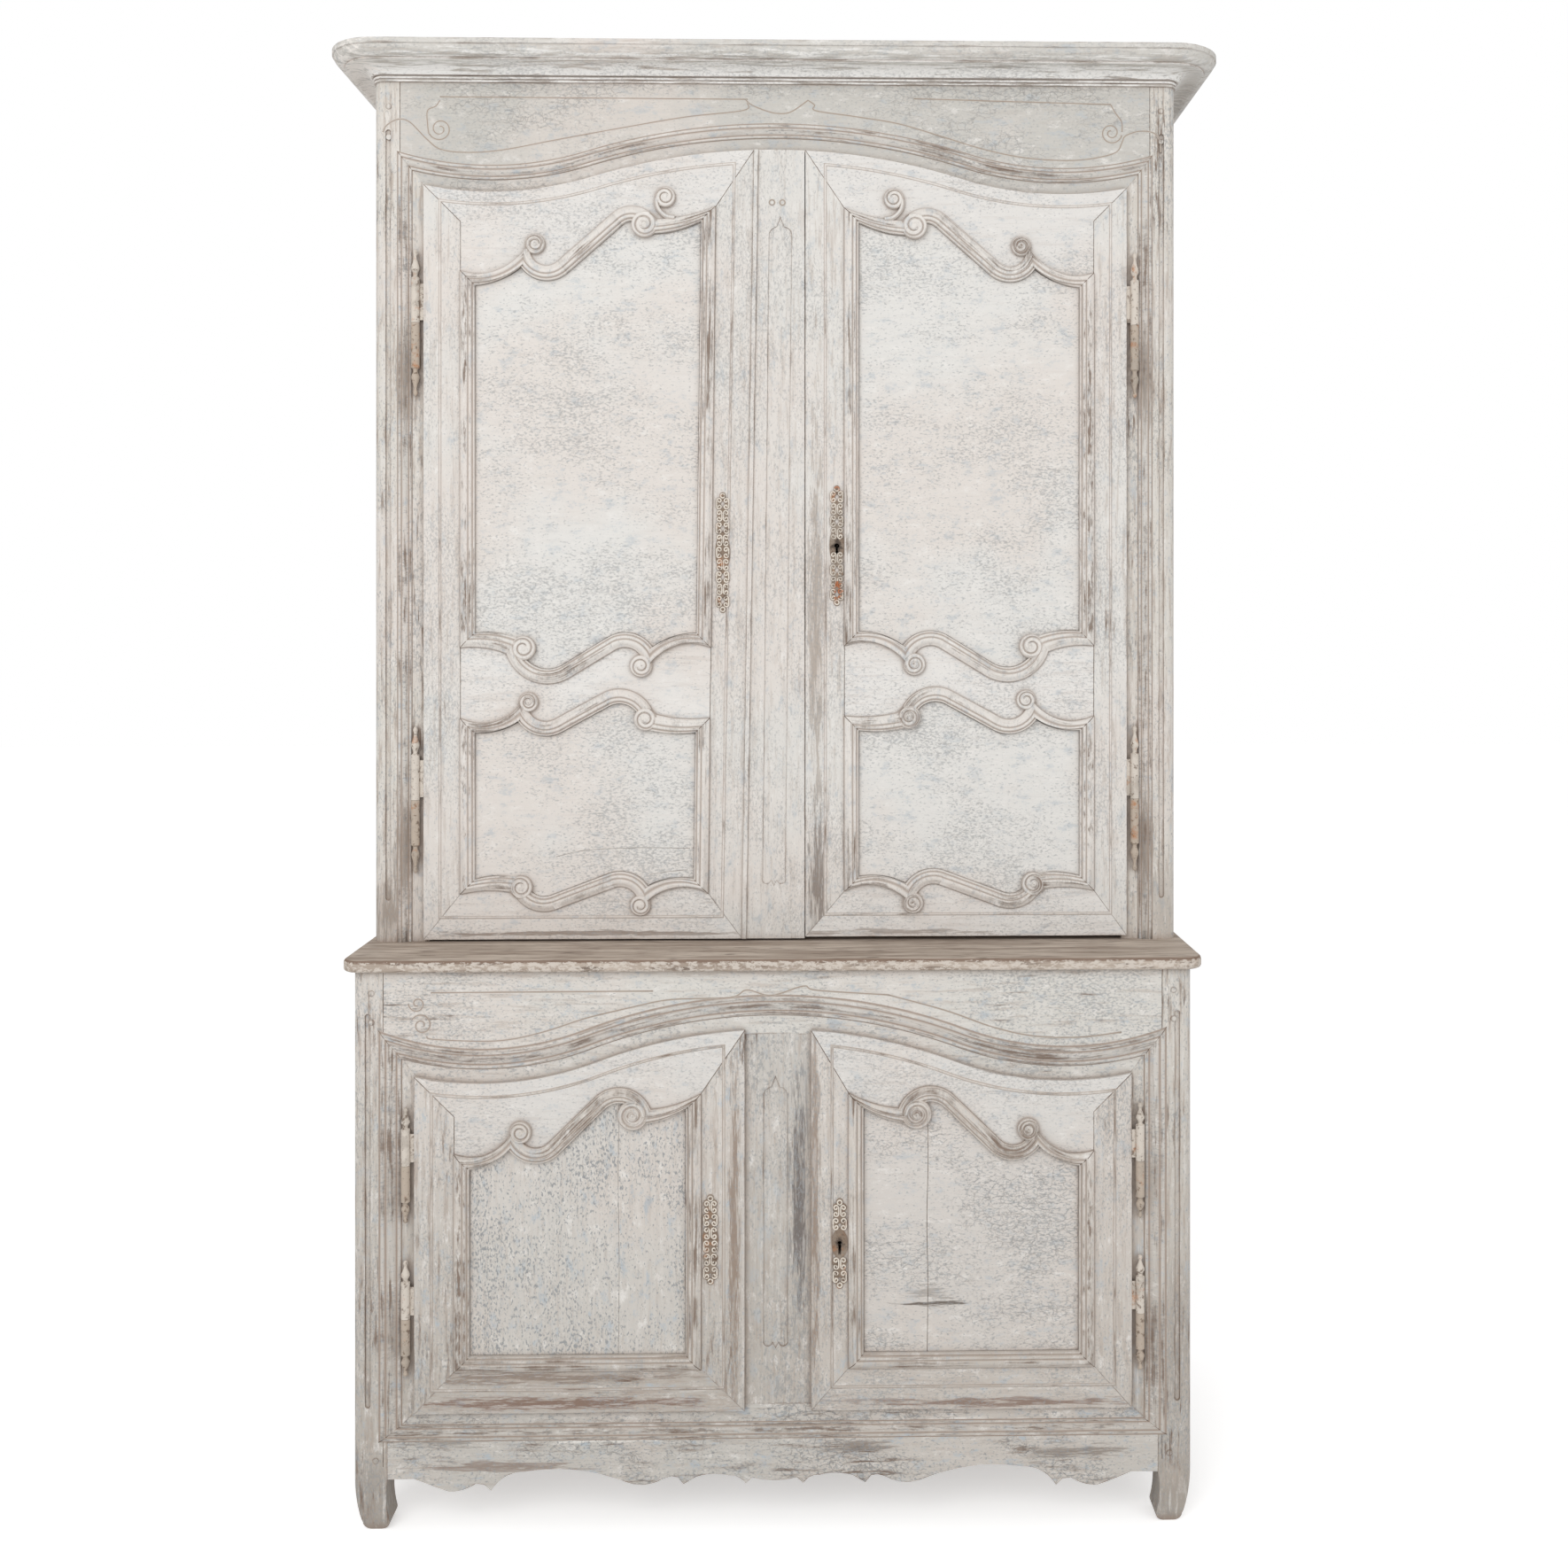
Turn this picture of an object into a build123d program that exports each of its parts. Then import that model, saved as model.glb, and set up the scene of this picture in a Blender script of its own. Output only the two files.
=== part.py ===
from build123d import *
import os
from math import acos, asin, atan2, cos, degrees, hypot, radians, sin, sqrt

# Two-body provincial cupboard: a two-door buffet below, a taller two-door cabinet standing on its ledge.
# Millimetres. X runs to the right as seen from the front, Y to the back, Z up.
# The origin is on the floor, under the middle of the overall box; the front faces -Y.

# ---------------------------------------------------------------- overall sizes
OVERALL_DEPTH = 595.0
LOWER_WIDTH = 1372.0
UPPER_WIDER = 6.0
LEDGE_TOP = 930.0
LEDGE_THICK = 20.0
LEDGE_OVERHANG = 14.0
LEDGE_END_OVERHANG = 18.0
LEDGE_NOSE = 7.0
LEDGE_UNDERCUT = 5.0
UPPER_SETBACK = 130.0
CARCASS_TOP = 2402.0
CORNICE_HEIGHT = 50.0
CORNICE_REACH = 72.0
CORNICE_SEAT = 28.0

# ---------------------------------------------------------------- carcass timber
UPPER_PILASTER = 45.0
LOWER_PILASTER = 50.0
UPPER_OGEE = 20.0
LOWER_OGEE = 30.0
SILL_OGEE = 20.0
REVEAL = 20.0
REVEAL_SINK = 8.5
CORNER_ROUND = 18.0
FRONT_POST_DEPTH = 50.0
REAR_POST = 50.0
RAIL_THICK = 28.0
SIDE_THICK = 26.0
SIDE_RAIL_HEIGHT = 110.0
PANEL_THICK = 12.0
PANEL_RECESS = 7.0
PANEL_BITE = 10.0
BOARD_THICK = 20.0
BACK_THICK = 14.0
BACK_BOARDS = 7
TENON_LENGTH = 38.0
TENON_THICK = 10.0
SIDE_TENON = 28.0
SIDE_TENON_TRIM = 20.0
UPPER_TENON_TRIM = (12.0, 20.0)
LOWER_TENON_TRIM = (10.0, 12.0)
FOOT_TENON_TRIM = (15.0, 8.0)
STUB_LENGTH = 24.0
STUB_TRIM = 15.0
FLUTE_WIDTH = 9.0
FLUTE_DEPTH = 2.5
FLUTE_INSET = 25.0
UPPER_FLUTE_STOPS = (86.0, 76.0)
LOWER_FLUTE_STOPS = (120.0, 74.0)
CLEAT = 22.0
SHELF_GAP = 1.0
UPPER_SHELF_HEIGHTS = (420.0, 850.0)
LOWER_SHELF_HEIGHT = 330.0
PEG_RADIUS = 4.5
PEG_PROUD = 1.0
PEG_LENGTH = 34.0
UPPER_PEG_LEVELS = (30.0, 42.0)
LOWER_PEG_LEVELS = (24.0, 36.0)

# ---------------------------------------------------------------- arches over the doors
UPPER_CROWN_DROP = 112.0
UPPER_ARCH_RISE = 74.0
UPPER_ARCH_INSET = 198.0
UPPER_CROWN_SHARE = 0.64
LOWER_CROWN_DROP = 98.0
LOWER_ARCH_RISE = 86.0
LOWER_ARCH_INSET = 209.0
LOWER_CROWN_SHARE = 0.61

# ---------------------------------------------------------------- feet and apron
FLOOR_BASE = 150.0
SILL_TOP = 197.0
FOOT_WIDTH = 57.0
FOOT_TUCK = 7.0
TOE_TURN = 17.0
HEEL_SPREAD = 3.0
FOOT_ROUND = 14.0
FOOT_TOP = 84.0
APRON_LINE = 79.0

# ---------------------------------------------------------------- doors
DOOR_THICK = 28.0
LIP = 8.0
LIP_THICK = 8.0
DOOR_GAP = 2.0
LEFT_DOOR_CLEAR = 4.0
RIGHT_DOOR_CLEAR = 7.0
BACK_CLEAR = 2.0
GROOVE_DEPTH = 9.0
GROOVE_WIDTH = 9.0
GROOVE_BACK = 10.0
FIELD_RECESS = 3.0
FIELD_CLEAR = 1.5
RIB_WIDTH = 24.0
RIB_FOOT = 3.0
RIB_HEIGHT = 5.5
RIB_STEP = 5.0
EYE_BOSS = 2.0
EYE_LEAVE = 0.16
START_SAG = 14.0
START_SAG_INNER = 7.0
END_SAG = 5.0
DOOR_TENON = 34.0
DOOR_TENON_ROOT = 4.0
TOP_TENON_LEVELS = (8.0, 48.0)
MID_TENON_TRIM = 14.0
FOOT_TENON_LEVELS = (34.0, 6.0)
UPPER_HINGE_STILE = (63.0, 57.0)
LOWER_HINGE_STILE = (65.0, 62.5)
RIGHT_UPPER_LOCK_STILE = 67.0
LEFT_UPPER_LOCK_STILE = (66.5, 61.0, 61.0, 59.0)
LOWER_LOCK_STILE = (71.0, 61.0)
UPPER_BOTTOM_RAIL = 78.0
UPPER_MID_RAIL = 121.0
LOWER_PANEL_HEIGHT = 301.0
UPPER_TOP_RAIL_HINGE = 139.0
UPPER_TOP_RAIL_LOCK = 94.0
LOWER_BOTTOM_RAIL = 69.0
LOWER_TOP_RAIL_HINGE = 116.0
LOWER_TOP_RAIL_LOCK = 95.0
CENTRE_STILE = 125.0
CENTRE_STILE_X = 5.5
STRIP_RIGHT = 48.0
STRIP_LEFT_TOP = -38.5
STRIP_LEFT_FOOT = -59.5
STRIP_BEAD = 7.0
STRIP_BEAD_HEIGHT = 3.0
STRIP_GAP = 1.6
INCISED_WIDTH = 40.0
INCISED_DEPTH = 1.5
STRIP_INCISED_X = (6.5, -4.5)
STRIP_INCISED_LEVELS = (104.0, 144.0)
STILE_INCISED_X = 1.5
STILE_INCISED_LEVELS = (104.0, 98.0)

# ---------------------------------------------------------------- ironwork
BARREL_RADIUS = 7.25
PIN_RADIUS = 3.5
PIN_CLEAR = 0.05
PIN_HEIGHT = 50.0
BARREL_OFFSET = 14.0
BARREL_PROUD = 1.0
BLADE_THICK = 2.5
BLADE_REACH = 39.0
BLADE_INSET = 5.0
BLADE_ROOT = 5.0
KNUCKLE_GAP = 0.4
UPPER_BARREL = 73.0
LOWER_BARREL = 56.0
UPPER_FINIAL = 52.0
LOWER_FINIAL = 38.0
UPPER_HINGE_SHARES = (0.189, 0.824)
LOWER_HINGE_SHARES = (0.29, 0.754)
PLATE_THICK = 1.6
UPPER_PLATE = (25.0, 207.0)
LOWER_PLATE = (26.0, 147.0)
UPPER_PLATE_X = (92.5, 103.5)
LOWER_PLATE_X = (104.5, 106.5)
UPPER_PLATE_RISE = (667.0, 679.0)
LOWER_PLATE_RISE = (281.0, 273.0)
KEYHOLE_RADIUS = 4.5
KEYHOLE_DROP = 18.0
LOCK_CASE = (70.0, 18.0, 110.0)
LOCK_WALL = 2.5
LOCK_SETBACK = 4.0
LOCK_BOLT = (52.0, 8.0, 20.0)
LOCK_BOLT_RISE = 28.0
KEY_CHAMBER = 32.0
SLIDE_BOLT = (14.0, 7.0, 150.0)
SLIDE_THROW = 38.0
SLIDE_CLEAR = 0.3
SLIDE_MARGIN = 19.0
UPPER_SLIDE_X = -82.0
LOWER_SLIDE_X = -90.0
GUIDE_WALL = 2.5
GUIDE_FOOT = 9.0
GUIDE_HEIGHT = 16.0
GUIDE_OFFSET = 45.0
BOLT_KNOB = 6.0

# ---------------------------------------------------------------- planes worked out from them
UPPER_WIDTH = LOWER_WIDTH + UPPER_WIDER
BACK = OVERALL_DEPTH / 2
LOWER_FRONT = LEDGE_OVERHANG - OVERALL_DEPTH / 2
UPPER_FRONT = LOWER_FRONT + UPPER_SETBACK
LEDGE_BASE = LEDGE_TOP - LEDGE_THICK
CASE_TOP = CARCASS_TOP - BOARD_THICK
SIDE_BASE = FLOOR_BASE - CLEAT
HALF_RIB = RIB_WIDTH / 2


# ================================================================ drawing helpers
def block(x0, x1, y0, y1, z0, z1):
    """Square-edged board between two corners."""
    return Pos((x0 + x1) / 2, (y0 + y1) / 2, (z0 + z1) / 2) * Box(x1 - x0, y1 - y0, z1 - z0)


def group(*pieces):
    """Several separate solids kept as one node."""
    return Compound([solid for piece in pieces for solid in piece.solids()])


def mirrored(piece):
    """The right-hand twin of a left-hand piece."""
    return mirror(piece, about=Plane.YZ)


def both(piece):
    """A left-hand piece and its right-hand twin in one node."""
    return group(piece, mirrored(piece))


def is_round(station):
    """True for a (via, point) station, which is reached by an arc."""
    return isinstance(station[0], tuple)


def point_of(station):
    """End point of a station, plain or round."""
    return station[1] if is_round(station) else station


def chain(stations):
    """Edges through the stations: a point is reached by a straight run, a (via, point) pair by an arc."""
    edges = []
    here = stations[0]
    for station in stations[1:]:
        there = point_of(station)
        if is_round(station):
            edges.append(ThreePointArc(here, station[0], there))
        elif hypot(there[0] - here[0], there[1] - here[1]) > 1e-4:
            edges.append(Line(here, there))
        here = there
    return edges


def outline_face(stations):
    """Flat face inside a closed chain of stations."""
    return make_face(chain(stations + [stations[0]]))


def backwards(stations):
    """The same stations walked from the other end."""
    walked = [point_of(stations[-1])]
    for before, after in zip(stations[-2::-1], stations[:0:-1]):
        there = point_of(before)
        walked.append((after[0], there) if is_round(after) else there)
    return walked


def flipped(stations):
    """The same stations mirrored left to right."""
    return [((-s[0][0], s[0][1]), (-s[1][0], s[1][1])) if is_round(s) else (-s[0], s[1]) for s in stations]


def at_place(stations, x, z, scale=1.0):
    """The same stations scaled about the origin and moved."""
    return [(at_place([s[0]], x, z, scale)[0], at_place([s[1]], x, z, scale)[0]) if is_round(s)
            else (s[0] * scale + x, s[1] * scale + z) for s in stations]


def slab(stations, y_front, y_back):
    """Board sawn to a closed outline of the front view (x, z), between two depths."""
    face = Plane.XZ * outline_face(stations)
    return Pos(0, y_back, 0) * extrude(face, y_back - y_front, dir=(0, -1, 0))


def plan_board(stations, z0, z1):
    """Board sawn to a closed outline of the plan view (x, y), between two heights."""
    return Pos(0, 0, z0) * extrude(outline_face(stations), z1 - z0, dir=(0, 0, 1))


def long_board(stations, x0, x1):
    """Moulded length with a closed section (y, z), between two widths."""
    return Pos(x0, 0, 0) * extrude(Plane.YZ * outline_face(stations), x1 - x0, dir=(1, 0, 0))


def on_circle(centre, radius, angle):
    """Point of a circle at an angle in degrees."""
    return (centre[0] + radius * cos(radians(angle)), centre[1] + radius * sin(radians(angle)))


def arc_station(centre, radius, start, end):
    """Round station from one angle of a circle to another."""
    return (on_circle(centre, radius, (start + end) / 2), on_circle(centre, radius, end))


def beyond(a, b, reach):
    """Point past b on the straight line from a."""
    length = hypot(b[0] - a[0], b[1] - a[1])
    return (b[0] + (b[0] - a[0]) * reach / length, b[1] + (b[1] - a[1]) * reach / length)


# ================================================================ crossbow arch
class Arch:
    """Crossbow arch of the front view: a crown arc between two hollow arcs, tangent to each other."""

    def __init__(self, crown_z, rise, low_x, crown_share):
        self.turn = 2 * atan2(rise, low_x)
        both_radii = low_x / sin(self.turn)
        self.crown_r = both_radii * crown_share
        self.low_r = both_radii - self.crown_r
        self.crown_c = crown_z - self.crown_r
        self.low_x = low_x
        self.low_z = crown_z - rise
        self.low_c = self.low_z + self.low_r

    def z(self, x, raised=0.0):
        """Height at x of the line that runs a given distance above the arch."""
        if abs(x) < (self.crown_r + raised) * sin(self.turn):
            return self.crown_c + sqrt((self.crown_r + raised) ** 2 - x * x)
        return self.low_c - sqrt((self.low_r - raised) ** 2 - (abs(x) - self.low_x) ** 2)

    def run(self, x0, x1, raised=0.0):
        """Stations along that line, from x0 to a larger x1."""
        bend = (self.crown_r + raised) * sin(self.turn)
        cuts = [x0] + [c for c in (-bend, bend) if x0 < c < x1] + [x1]
        stations = [(x0, self.z(x0, raised))]
        for a, b in zip(cuts, cuts[1:]):
            middle = (a + b) / 2
            stations.append(((middle, self.z(middle, raised)), (b, self.z(b, raised))))
        return stations

    def ogee(self, front):
        """Moulding along the arch: a turned length on the crown and one on each hollow arc."""
        turn = degrees(self.turn)
        lengths = [(0, self.crown_c, self.crown_r, 1, 90 - turn, 2 * turn)]
        lengths.append((-self.low_x, self.low_c, self.low_r, -1, -110, 20 + turn))
        pieces = []
        for cx, cz, radius, way, start, sweep in lengths:
            near, far = radius + way * REVEAL, radius + way * front.mould
            middle = (near + far) / 2
            sag = REVEAL_SINK / 8
            bulge = ((middle + far) / 2, front.face + sag)
            hollow = ((near + middle) / 2, front.sunk - sag)
            half_way = (middle, (front.face + front.sunk) / 2)
            section = outline_face([(far, front.sunk), (far, front.face), (bulge, half_way),
                                    (hollow, (near, front.sunk))])
            placed = Pos(cx, 0, cz) * Rot(0, -start, 0) * section
            pieces.append(revolve(placed, Axis((cx, 0, cz), (0, -1, 0)), sweep))
        return pieces + [mirrored(pieces[1])]


# ================================================================ one cabinet front
class Front:
    """Widths and planes that a case and its doors share. Distances run from the outer side inwards."""

    def __init__(self, width, face, pilaster, ogee, arch):
        self.half = width / 2
        self.face = face
        self.sunk = face + REVEAL_SINK
        self.back = face + RAIL_THICK
        self.post_back = face + FRONT_POST_DEPTH
        self.seam = self.half - pilaster
        self.band = self.seam - ogee
        self.lip = self.band - REVEAL
        self.opening = self.lip - LIP
        self.axis = self.lip + BARREL_OFFSET
        self.axis_y = face + BARREL_PROUD
        self.inside = self.half - SIDE_THICK
        self.arch = arch
        self.mould = REVEAL + ogee

    def post_plan(self):
        """Plan of the left front post: round corner, face, ogee, sunk reveal."""
        corner = (-self.half + CORNER_ROUND, self.face + CORNER_ROUND)
        middle = -(self.seam + self.band) / 2
        sag = REVEAL_SINK / 8
        bulge = (-(self.seam - middle) / 2, self.face + sag)
        hollow = ((middle - self.band) / 2, self.sunk - sag)
        return [
            (-self.half, self.post_back),
            (-self.half, self.face + CORNER_ROUND),
            arc_station(corner, CORNER_ROUND, 180, 270),
            (-self.seam, self.face),
            (bulge, (middle, (self.face + self.sunk) / 2)),
            (hollow, (-self.band, self.sunk)),
            (-self.opening, self.sunk),
            (-self.opening, self.post_back),
        ]

    def post(self, outline, z0, z1):
        """Left front post: its plan carried up, sawn to the front view."""
        return plan_board(self.post_plan(), z0, z1) & slab(outline, self.face - 1, self.post_back + 1)

    def mitre(self):
        """Ends of the mitre between the left post's moulding and the arched rail's."""
        outer = (-self.seam, self.arch.z(self.seam, self.mould))
        inner = (-self.opening, self.arch.z(self.opening, -LIP))
        return outer, inner

    def arched_rail(self, top):
        """Rail over the doors: flat face, ogee along the arch, sunk reveal."""
        outer, inner = self.mitre()
        outline = [(-self.seam, top), (self.seam, top)] + flipped([outer, inner])
        outline += backwards(self.arch.run(-self.opening, self.opening, -LIP)) + [inner, outer]
        upright = [(-self.seam, top), (self.seam, top)]
        upright += backwards(self.arch.run(-self.seam, self.seam, self.mould))
        rail = slab(outline, self.sunk, self.back) + slab(upright, self.face, self.sunk)
        trim = slab(outline, self.face - 1, self.sunk)
        for length in self.arch.ogee(self):
            rail += length & trim
        return rail

    def flute(self, z0, z1):
        """Stopped flute beside the round corner."""
        x = -self.half + FLUTE_INSET
        r = FLUTE_WIDTH / 2
        outline = [(x - r, z0), (x - r, z1), ((x, z1 + r), (x + r, z1)), (x + r, z0),
                   ((x, z0 - r), (x - r, z0))]
        return slab(outline, self.face - 1, self.face + FLUTE_DEPTH)

    def tenon(self, x0, z0, z1):
        """Tenon of a rail whose shoulder is at x0, running into the left post."""
        y0 = self.face + (RAIL_THICK - TENON_THICK) / 2
        return block(x0 - TENON_LENGTH, x0, y0, y0 + TENON_THICK, z0, z1)

    def peg(self, x, z):
        """Peg through the left post's face and a rail's tenon."""
        return Pos(x, self.face - PEG_PROUD, z) * Rot(-90, 0, 0) * extrude(Circle(PEG_RADIUS), PEG_LENGTH)

    def side(self, base, top):
        """Left side between the posts: its panel, and the two rails with their tenons."""
        x0 = -self.half
        y0, y1 = self.post_back, BACK - REAR_POST
        low, high = base + SIDE_RAIL_HEIGHT, top - SIDE_RAIL_HEIGHT
        panel = block(x0 + PANEL_RECESS, x0 + PANEL_RECESS + PANEL_THICK, y0 - PANEL_BITE, y1 + PANEL_BITE,
                      low - PANEL_BITE, high + PANEL_BITE)
        tenon_x = x0 + (SIDE_THICK - TENON_THICK) / 2
        rails = []
        for z0, z1 in ((base, low), (high, top)):
            rail = block(x0, x0 + SIDE_THICK, y0, y1, z0, z1)
            rail += block(tenon_x, tenon_x + TENON_THICK, y0 - SIDE_TENON, y1 + SIDE_TENON,
                          z0 + SIDE_TENON_TRIM, z1 - SIDE_TENON_TRIM)
            rails.append(rail - panel)
        return panel, rails

    def rear_post(self, base, top):
        """Left rear post."""
        return block(-self.half, -self.half + REAR_POST, BACK - REAR_POST, BACK, base, top)

    def floor(self, y_front, z0):
        """Floor of the case, notched round the posts."""
        rear_x = self.half - REAR_POST
        half = [(self.opening, y_front), (self.opening, self.post_back), (self.inside, self.post_back),
                (self.inside, BACK - REAR_POST), (rear_x, BACK - REAR_POST), (rear_x, BACK - BACK_THICK)]
        return plan_board(half + flipped(half[::-1]), z0, z0 + BOARD_THICK)

    def back_boards(self, z0, z1):
        """Upright boards that close the back, edge to edge."""
        half = self.half - REAR_POST
        width = 2 * half / BACK_BOARDS
        edges = [-half + i * width for i in range(BACK_BOARDS + 1)]
        return group(*[block(a, b, BACK - BACK_THICK, BACK, z0, z1) for a, b in zip(edges, edges[1:])])

    def shelf(self, z):
        """Loose shelf on its cleats, narrower between the rear posts."""
        wide = self.inside - SHELF_GAP
        narrow = self.half - REAR_POST - SHELF_GAP
        y0, y1 = self.post_back + SHELF_GAP, BACK - REAR_POST - SHELF_GAP
        half = [(wide, y0), (wide, y1), (narrow, y1), (narrow, BACK - BACK_THICK - SHELF_GAP)]
        return plan_board(half + flipped(half[::-1]), z, z + BOARD_THICK)

    def cleats(self, z):
        """Pair of bearers under a shelf or floor, against the sides."""
        rail_face = -self.inside
        outer = rail_face if z < FLOOR_BASE + 1 else -self.half + PANEL_RECESS + PANEL_THICK
        return both(block(outer, rail_face + CLEAT, self.post_back, BACK - REAR_POST, z - CLEAT, z))


UPPER_ARCH = Arch(CARCASS_TOP - UPPER_CROWN_DROP, UPPER_ARCH_RISE, UPPER_WIDTH / 2 - UPPER_ARCH_INSET,
                  UPPER_CROWN_SHARE)
LOWER_ARCH = Arch(LEDGE_BASE - LOWER_CROWN_DROP, LOWER_ARCH_RISE, LOWER_WIDTH / 2 - LOWER_ARCH_INSET,
                  LOWER_CROWN_SHARE)
UPPER = Front(UPPER_WIDTH, UPPER_FRONT, UPPER_PILASTER, UPPER_OGEE, UPPER_ARCH)
LOWER = Front(LOWER_WIDTH, LOWER_FRONT, LOWER_PILASTER, LOWER_OGEE, LOWER_ARCH)
LOWER_DOOR_FOOT = SILL_TOP - LIP


def hinge_splits(base, arch, shares):
    """Heights where a door's hinges part, as shares of the way from the base to the arch's low ends."""
    return [base + (arch.low_z - base) * share for share in shares]


UPPER_SPLITS = hinge_splits(LEDGE_TOP, UPPER_ARCH, UPPER_HINGE_SHARES)
LOWER_SPLITS = hinge_splits(LOWER_DOOR_FOOT, LOWER_ARCH, LOWER_HINGE_SHARES)


def incised_panel(x_foot, x_top, y, z0, z1):
    """Long sunk panel with an ogee head and a notched foot, to be cut into a face."""
    h = INCISED_WIDTH / 2
    foot = [(-h, 0), ((-h / 2, -10), (-h / 4, -4)), (0, -14), (h / 4, -4), ((h / 2, -10), (h, 0))]
    head = [(h, 0), ((h * 0.7, 9), (h * 0.35, 12)), (0, 30), (-h * 0.35, 12), ((-h * 0.7, 9), (-h, 0))]
    return slab(at_place(foot, x_foot, z0) + at_place(head, x_top, z1), y - 1, y + INCISED_DEPTH)


# ================================================================ upper case
def upper_case():
    """Fixed pieces of the tall cabinet, which stands on the ledge."""
    front, base, top = UPPER, LEDGE_TOP, CARCASS_TOP
    outer, inner = front.mitre()
    tenon = front.tenon(-front.seam, outer[1] + UPPER_TENON_TRIM[0], top - UPPER_TENON_TRIM[1])
    peg_x = -front.seam - TENON_LENGTH / 2
    pegs = [front.peg(peg_x, outer[1] + UPPER_PEG_LEVELS[0]), front.peg(peg_x, top - UPPER_PEG_LEVELS[1])]
    panel, side_rails = front.side(base, CASE_TOP)

    outline = [(-front.half, top), (-front.seam, top), outer, inner, (-front.opening, base),
               (-front.half, base)]
    post = front.post(outline, base, top)
    post -= front.flute(base + UPPER_FLUTE_STOPS[1], top - UPPER_FLUTE_STOPS[0])
    post -= [tenon, panel] + side_rails + pegs
    post -= [hinge_blade(front, split, UPPER_BARREL) for split in UPPER_SPLITS]
    rail = front.arched_rail(top) + [tenon, mirrored(tenon)]
    rail -= pegs + [mirrored(peg) for peg in pegs]
    top_board = block(-front.half, front.half, front.back, BACK, CASE_TOP, top)
    top_board -= [block(-front.half, -front.opening, front.face, front.post_back, base, top),
                  block(front.opening, front.half, front.face, front.post_back, base, top)]
    shelves = [base + BOARD_THICK + height for height in UPPER_SHELF_HEIGHTS]
    parts = {
        "upper_post_left": post,
        "upper_post_right": mirrored(post),
        "upper_rear_posts": both(front.rear_post(base, CASE_TOP) - [panel] - side_rails),
        "frieze_rail": rail,
        "top_board": top_board,
        "cornice": cornice(),
        "upper_floor": front.floor(front.back + BACK_CLEAR, base),
        "upper_back_boards": front.back_boards(base, CASE_TOP),
        "upper_side_panels": both(panel),
        "upper_side_rails": group(*[both(rail) for rail in side_rails]),
        "upper_shelves": group(*[front.shelf(z) for z in shelves]),
    }
    return parts, pegs, [front.cleats(z) for z in shelves]


def cornice():
    """Crown moulding: a front length and two returns, round at the corners and mitred there."""
    reach, height, seat = CORNICE_REACH, CORNICE_HEIGHT, CORNICE_SEAT
    profile = [
        (-seat, 0), (3, 0), (3, 3), (1.5, 3.5), (1.5, 5), (2.5, 5), ((4.8, 7.3), (2.5, 9.6)), (2.5, 10.7),
        (8, 10.7),
        ((17, 19.5), (reach - 23, 21.9)), (reach - 21, 22), (reach - 21, 24.9),
        ((reach - 7, 31), (reach - 2, height - 9.4)), (reach, height - 8.5), (reach, height), (-seat, height),
    ]
    shift = [((s[0][0] + CORNER_ROUND, s[0][1]), (s[1][0] + CORNER_ROUND, s[1][1])) if is_round(s)
             else (s[0] + CORNER_ROUND, s[1]) for s in profile]
    section = outline_face(shift)
    turned = outline_face([(0, 0)] + shift[1:-1] + [(0, height)])
    x, y = -UPPER.half + CORNER_ROUND, UPPER.face + CORNER_ROUND
    corner = Pos(x, y, CARCASS_TOP)
    frontward = Plane(origin=(0, 0, 0), x_dir=(0, -1, 0), z_dir=(-1, 0, 0))
    sideward = Plane(origin=(0, 0, 0), x_dir=(-1, 0, 0), z_dir=(0, 1, 0))
    quarter = corner * revolve(frontward * turned, Axis((0, 0, 0), (0, 0, -1)), 90)
    run = corner * extrude(frontward * section, -2 * x, dir=(1, 0, 0))
    side_run = corner * extrude(sideward * section, BACK - y, dir=(0, 1, 0))
    whole = run + [quarter, side_run, mirrored(quarter), mirrored(side_run)]
    out = reach + CORNER_ROUND
    beside = plan_board([(x - out, y - out), (x + seat, y + seat), (x + seat, BACK + 1), (x - out, BACK + 1)],
                        CARCASS_TOP - 1, CARCASS_TOP + height + 1)
    return group(whole - [beside, mirrored(beside)], both(whole & beside))


# ================================================================ lower case
def apron_line():
    """Scalloped lower edge, from the middle to the left foot: lobes, cusps and long hollows.

    It is drawn in hundredths of the span from the middle to the foot.
    """
    drawn = [
        (0, -0.5), ((-3, -0.3), (-5.8, 0.2)), (-7.5, -1.3), ((-9.3, 0.3), (-11.8, 0.8)),
        ((-15.7, 1.3), (-20.3, 0.6)), (-23.6, -1.3), (-25.1, 0.5), (-26.7, 0.8),
        ((-28.4, 0.3), (-30.4, -0.6)),
        ((-33.4, -1.3), (-37.9, -0.8)), ((-45.4, 1.6), (-53.4, 2.9)), ((-59.9, 2.9), (-64.7, 2.4)),
        ((-70.9, 0.3), (-73.3, -2.5)), (-75.1, -0.9), (-77.2, -0.6), ((-80.7, -2.2), (-84.2, -2.6)),
        ((-88.8, -0.9), (-93.1, 0.8)), (-100, 0.7),
    ]
    return at_place(drawn, 0, APRON_LINE, (LOWER.half - FOOT_WIDTH) / 100)


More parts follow.
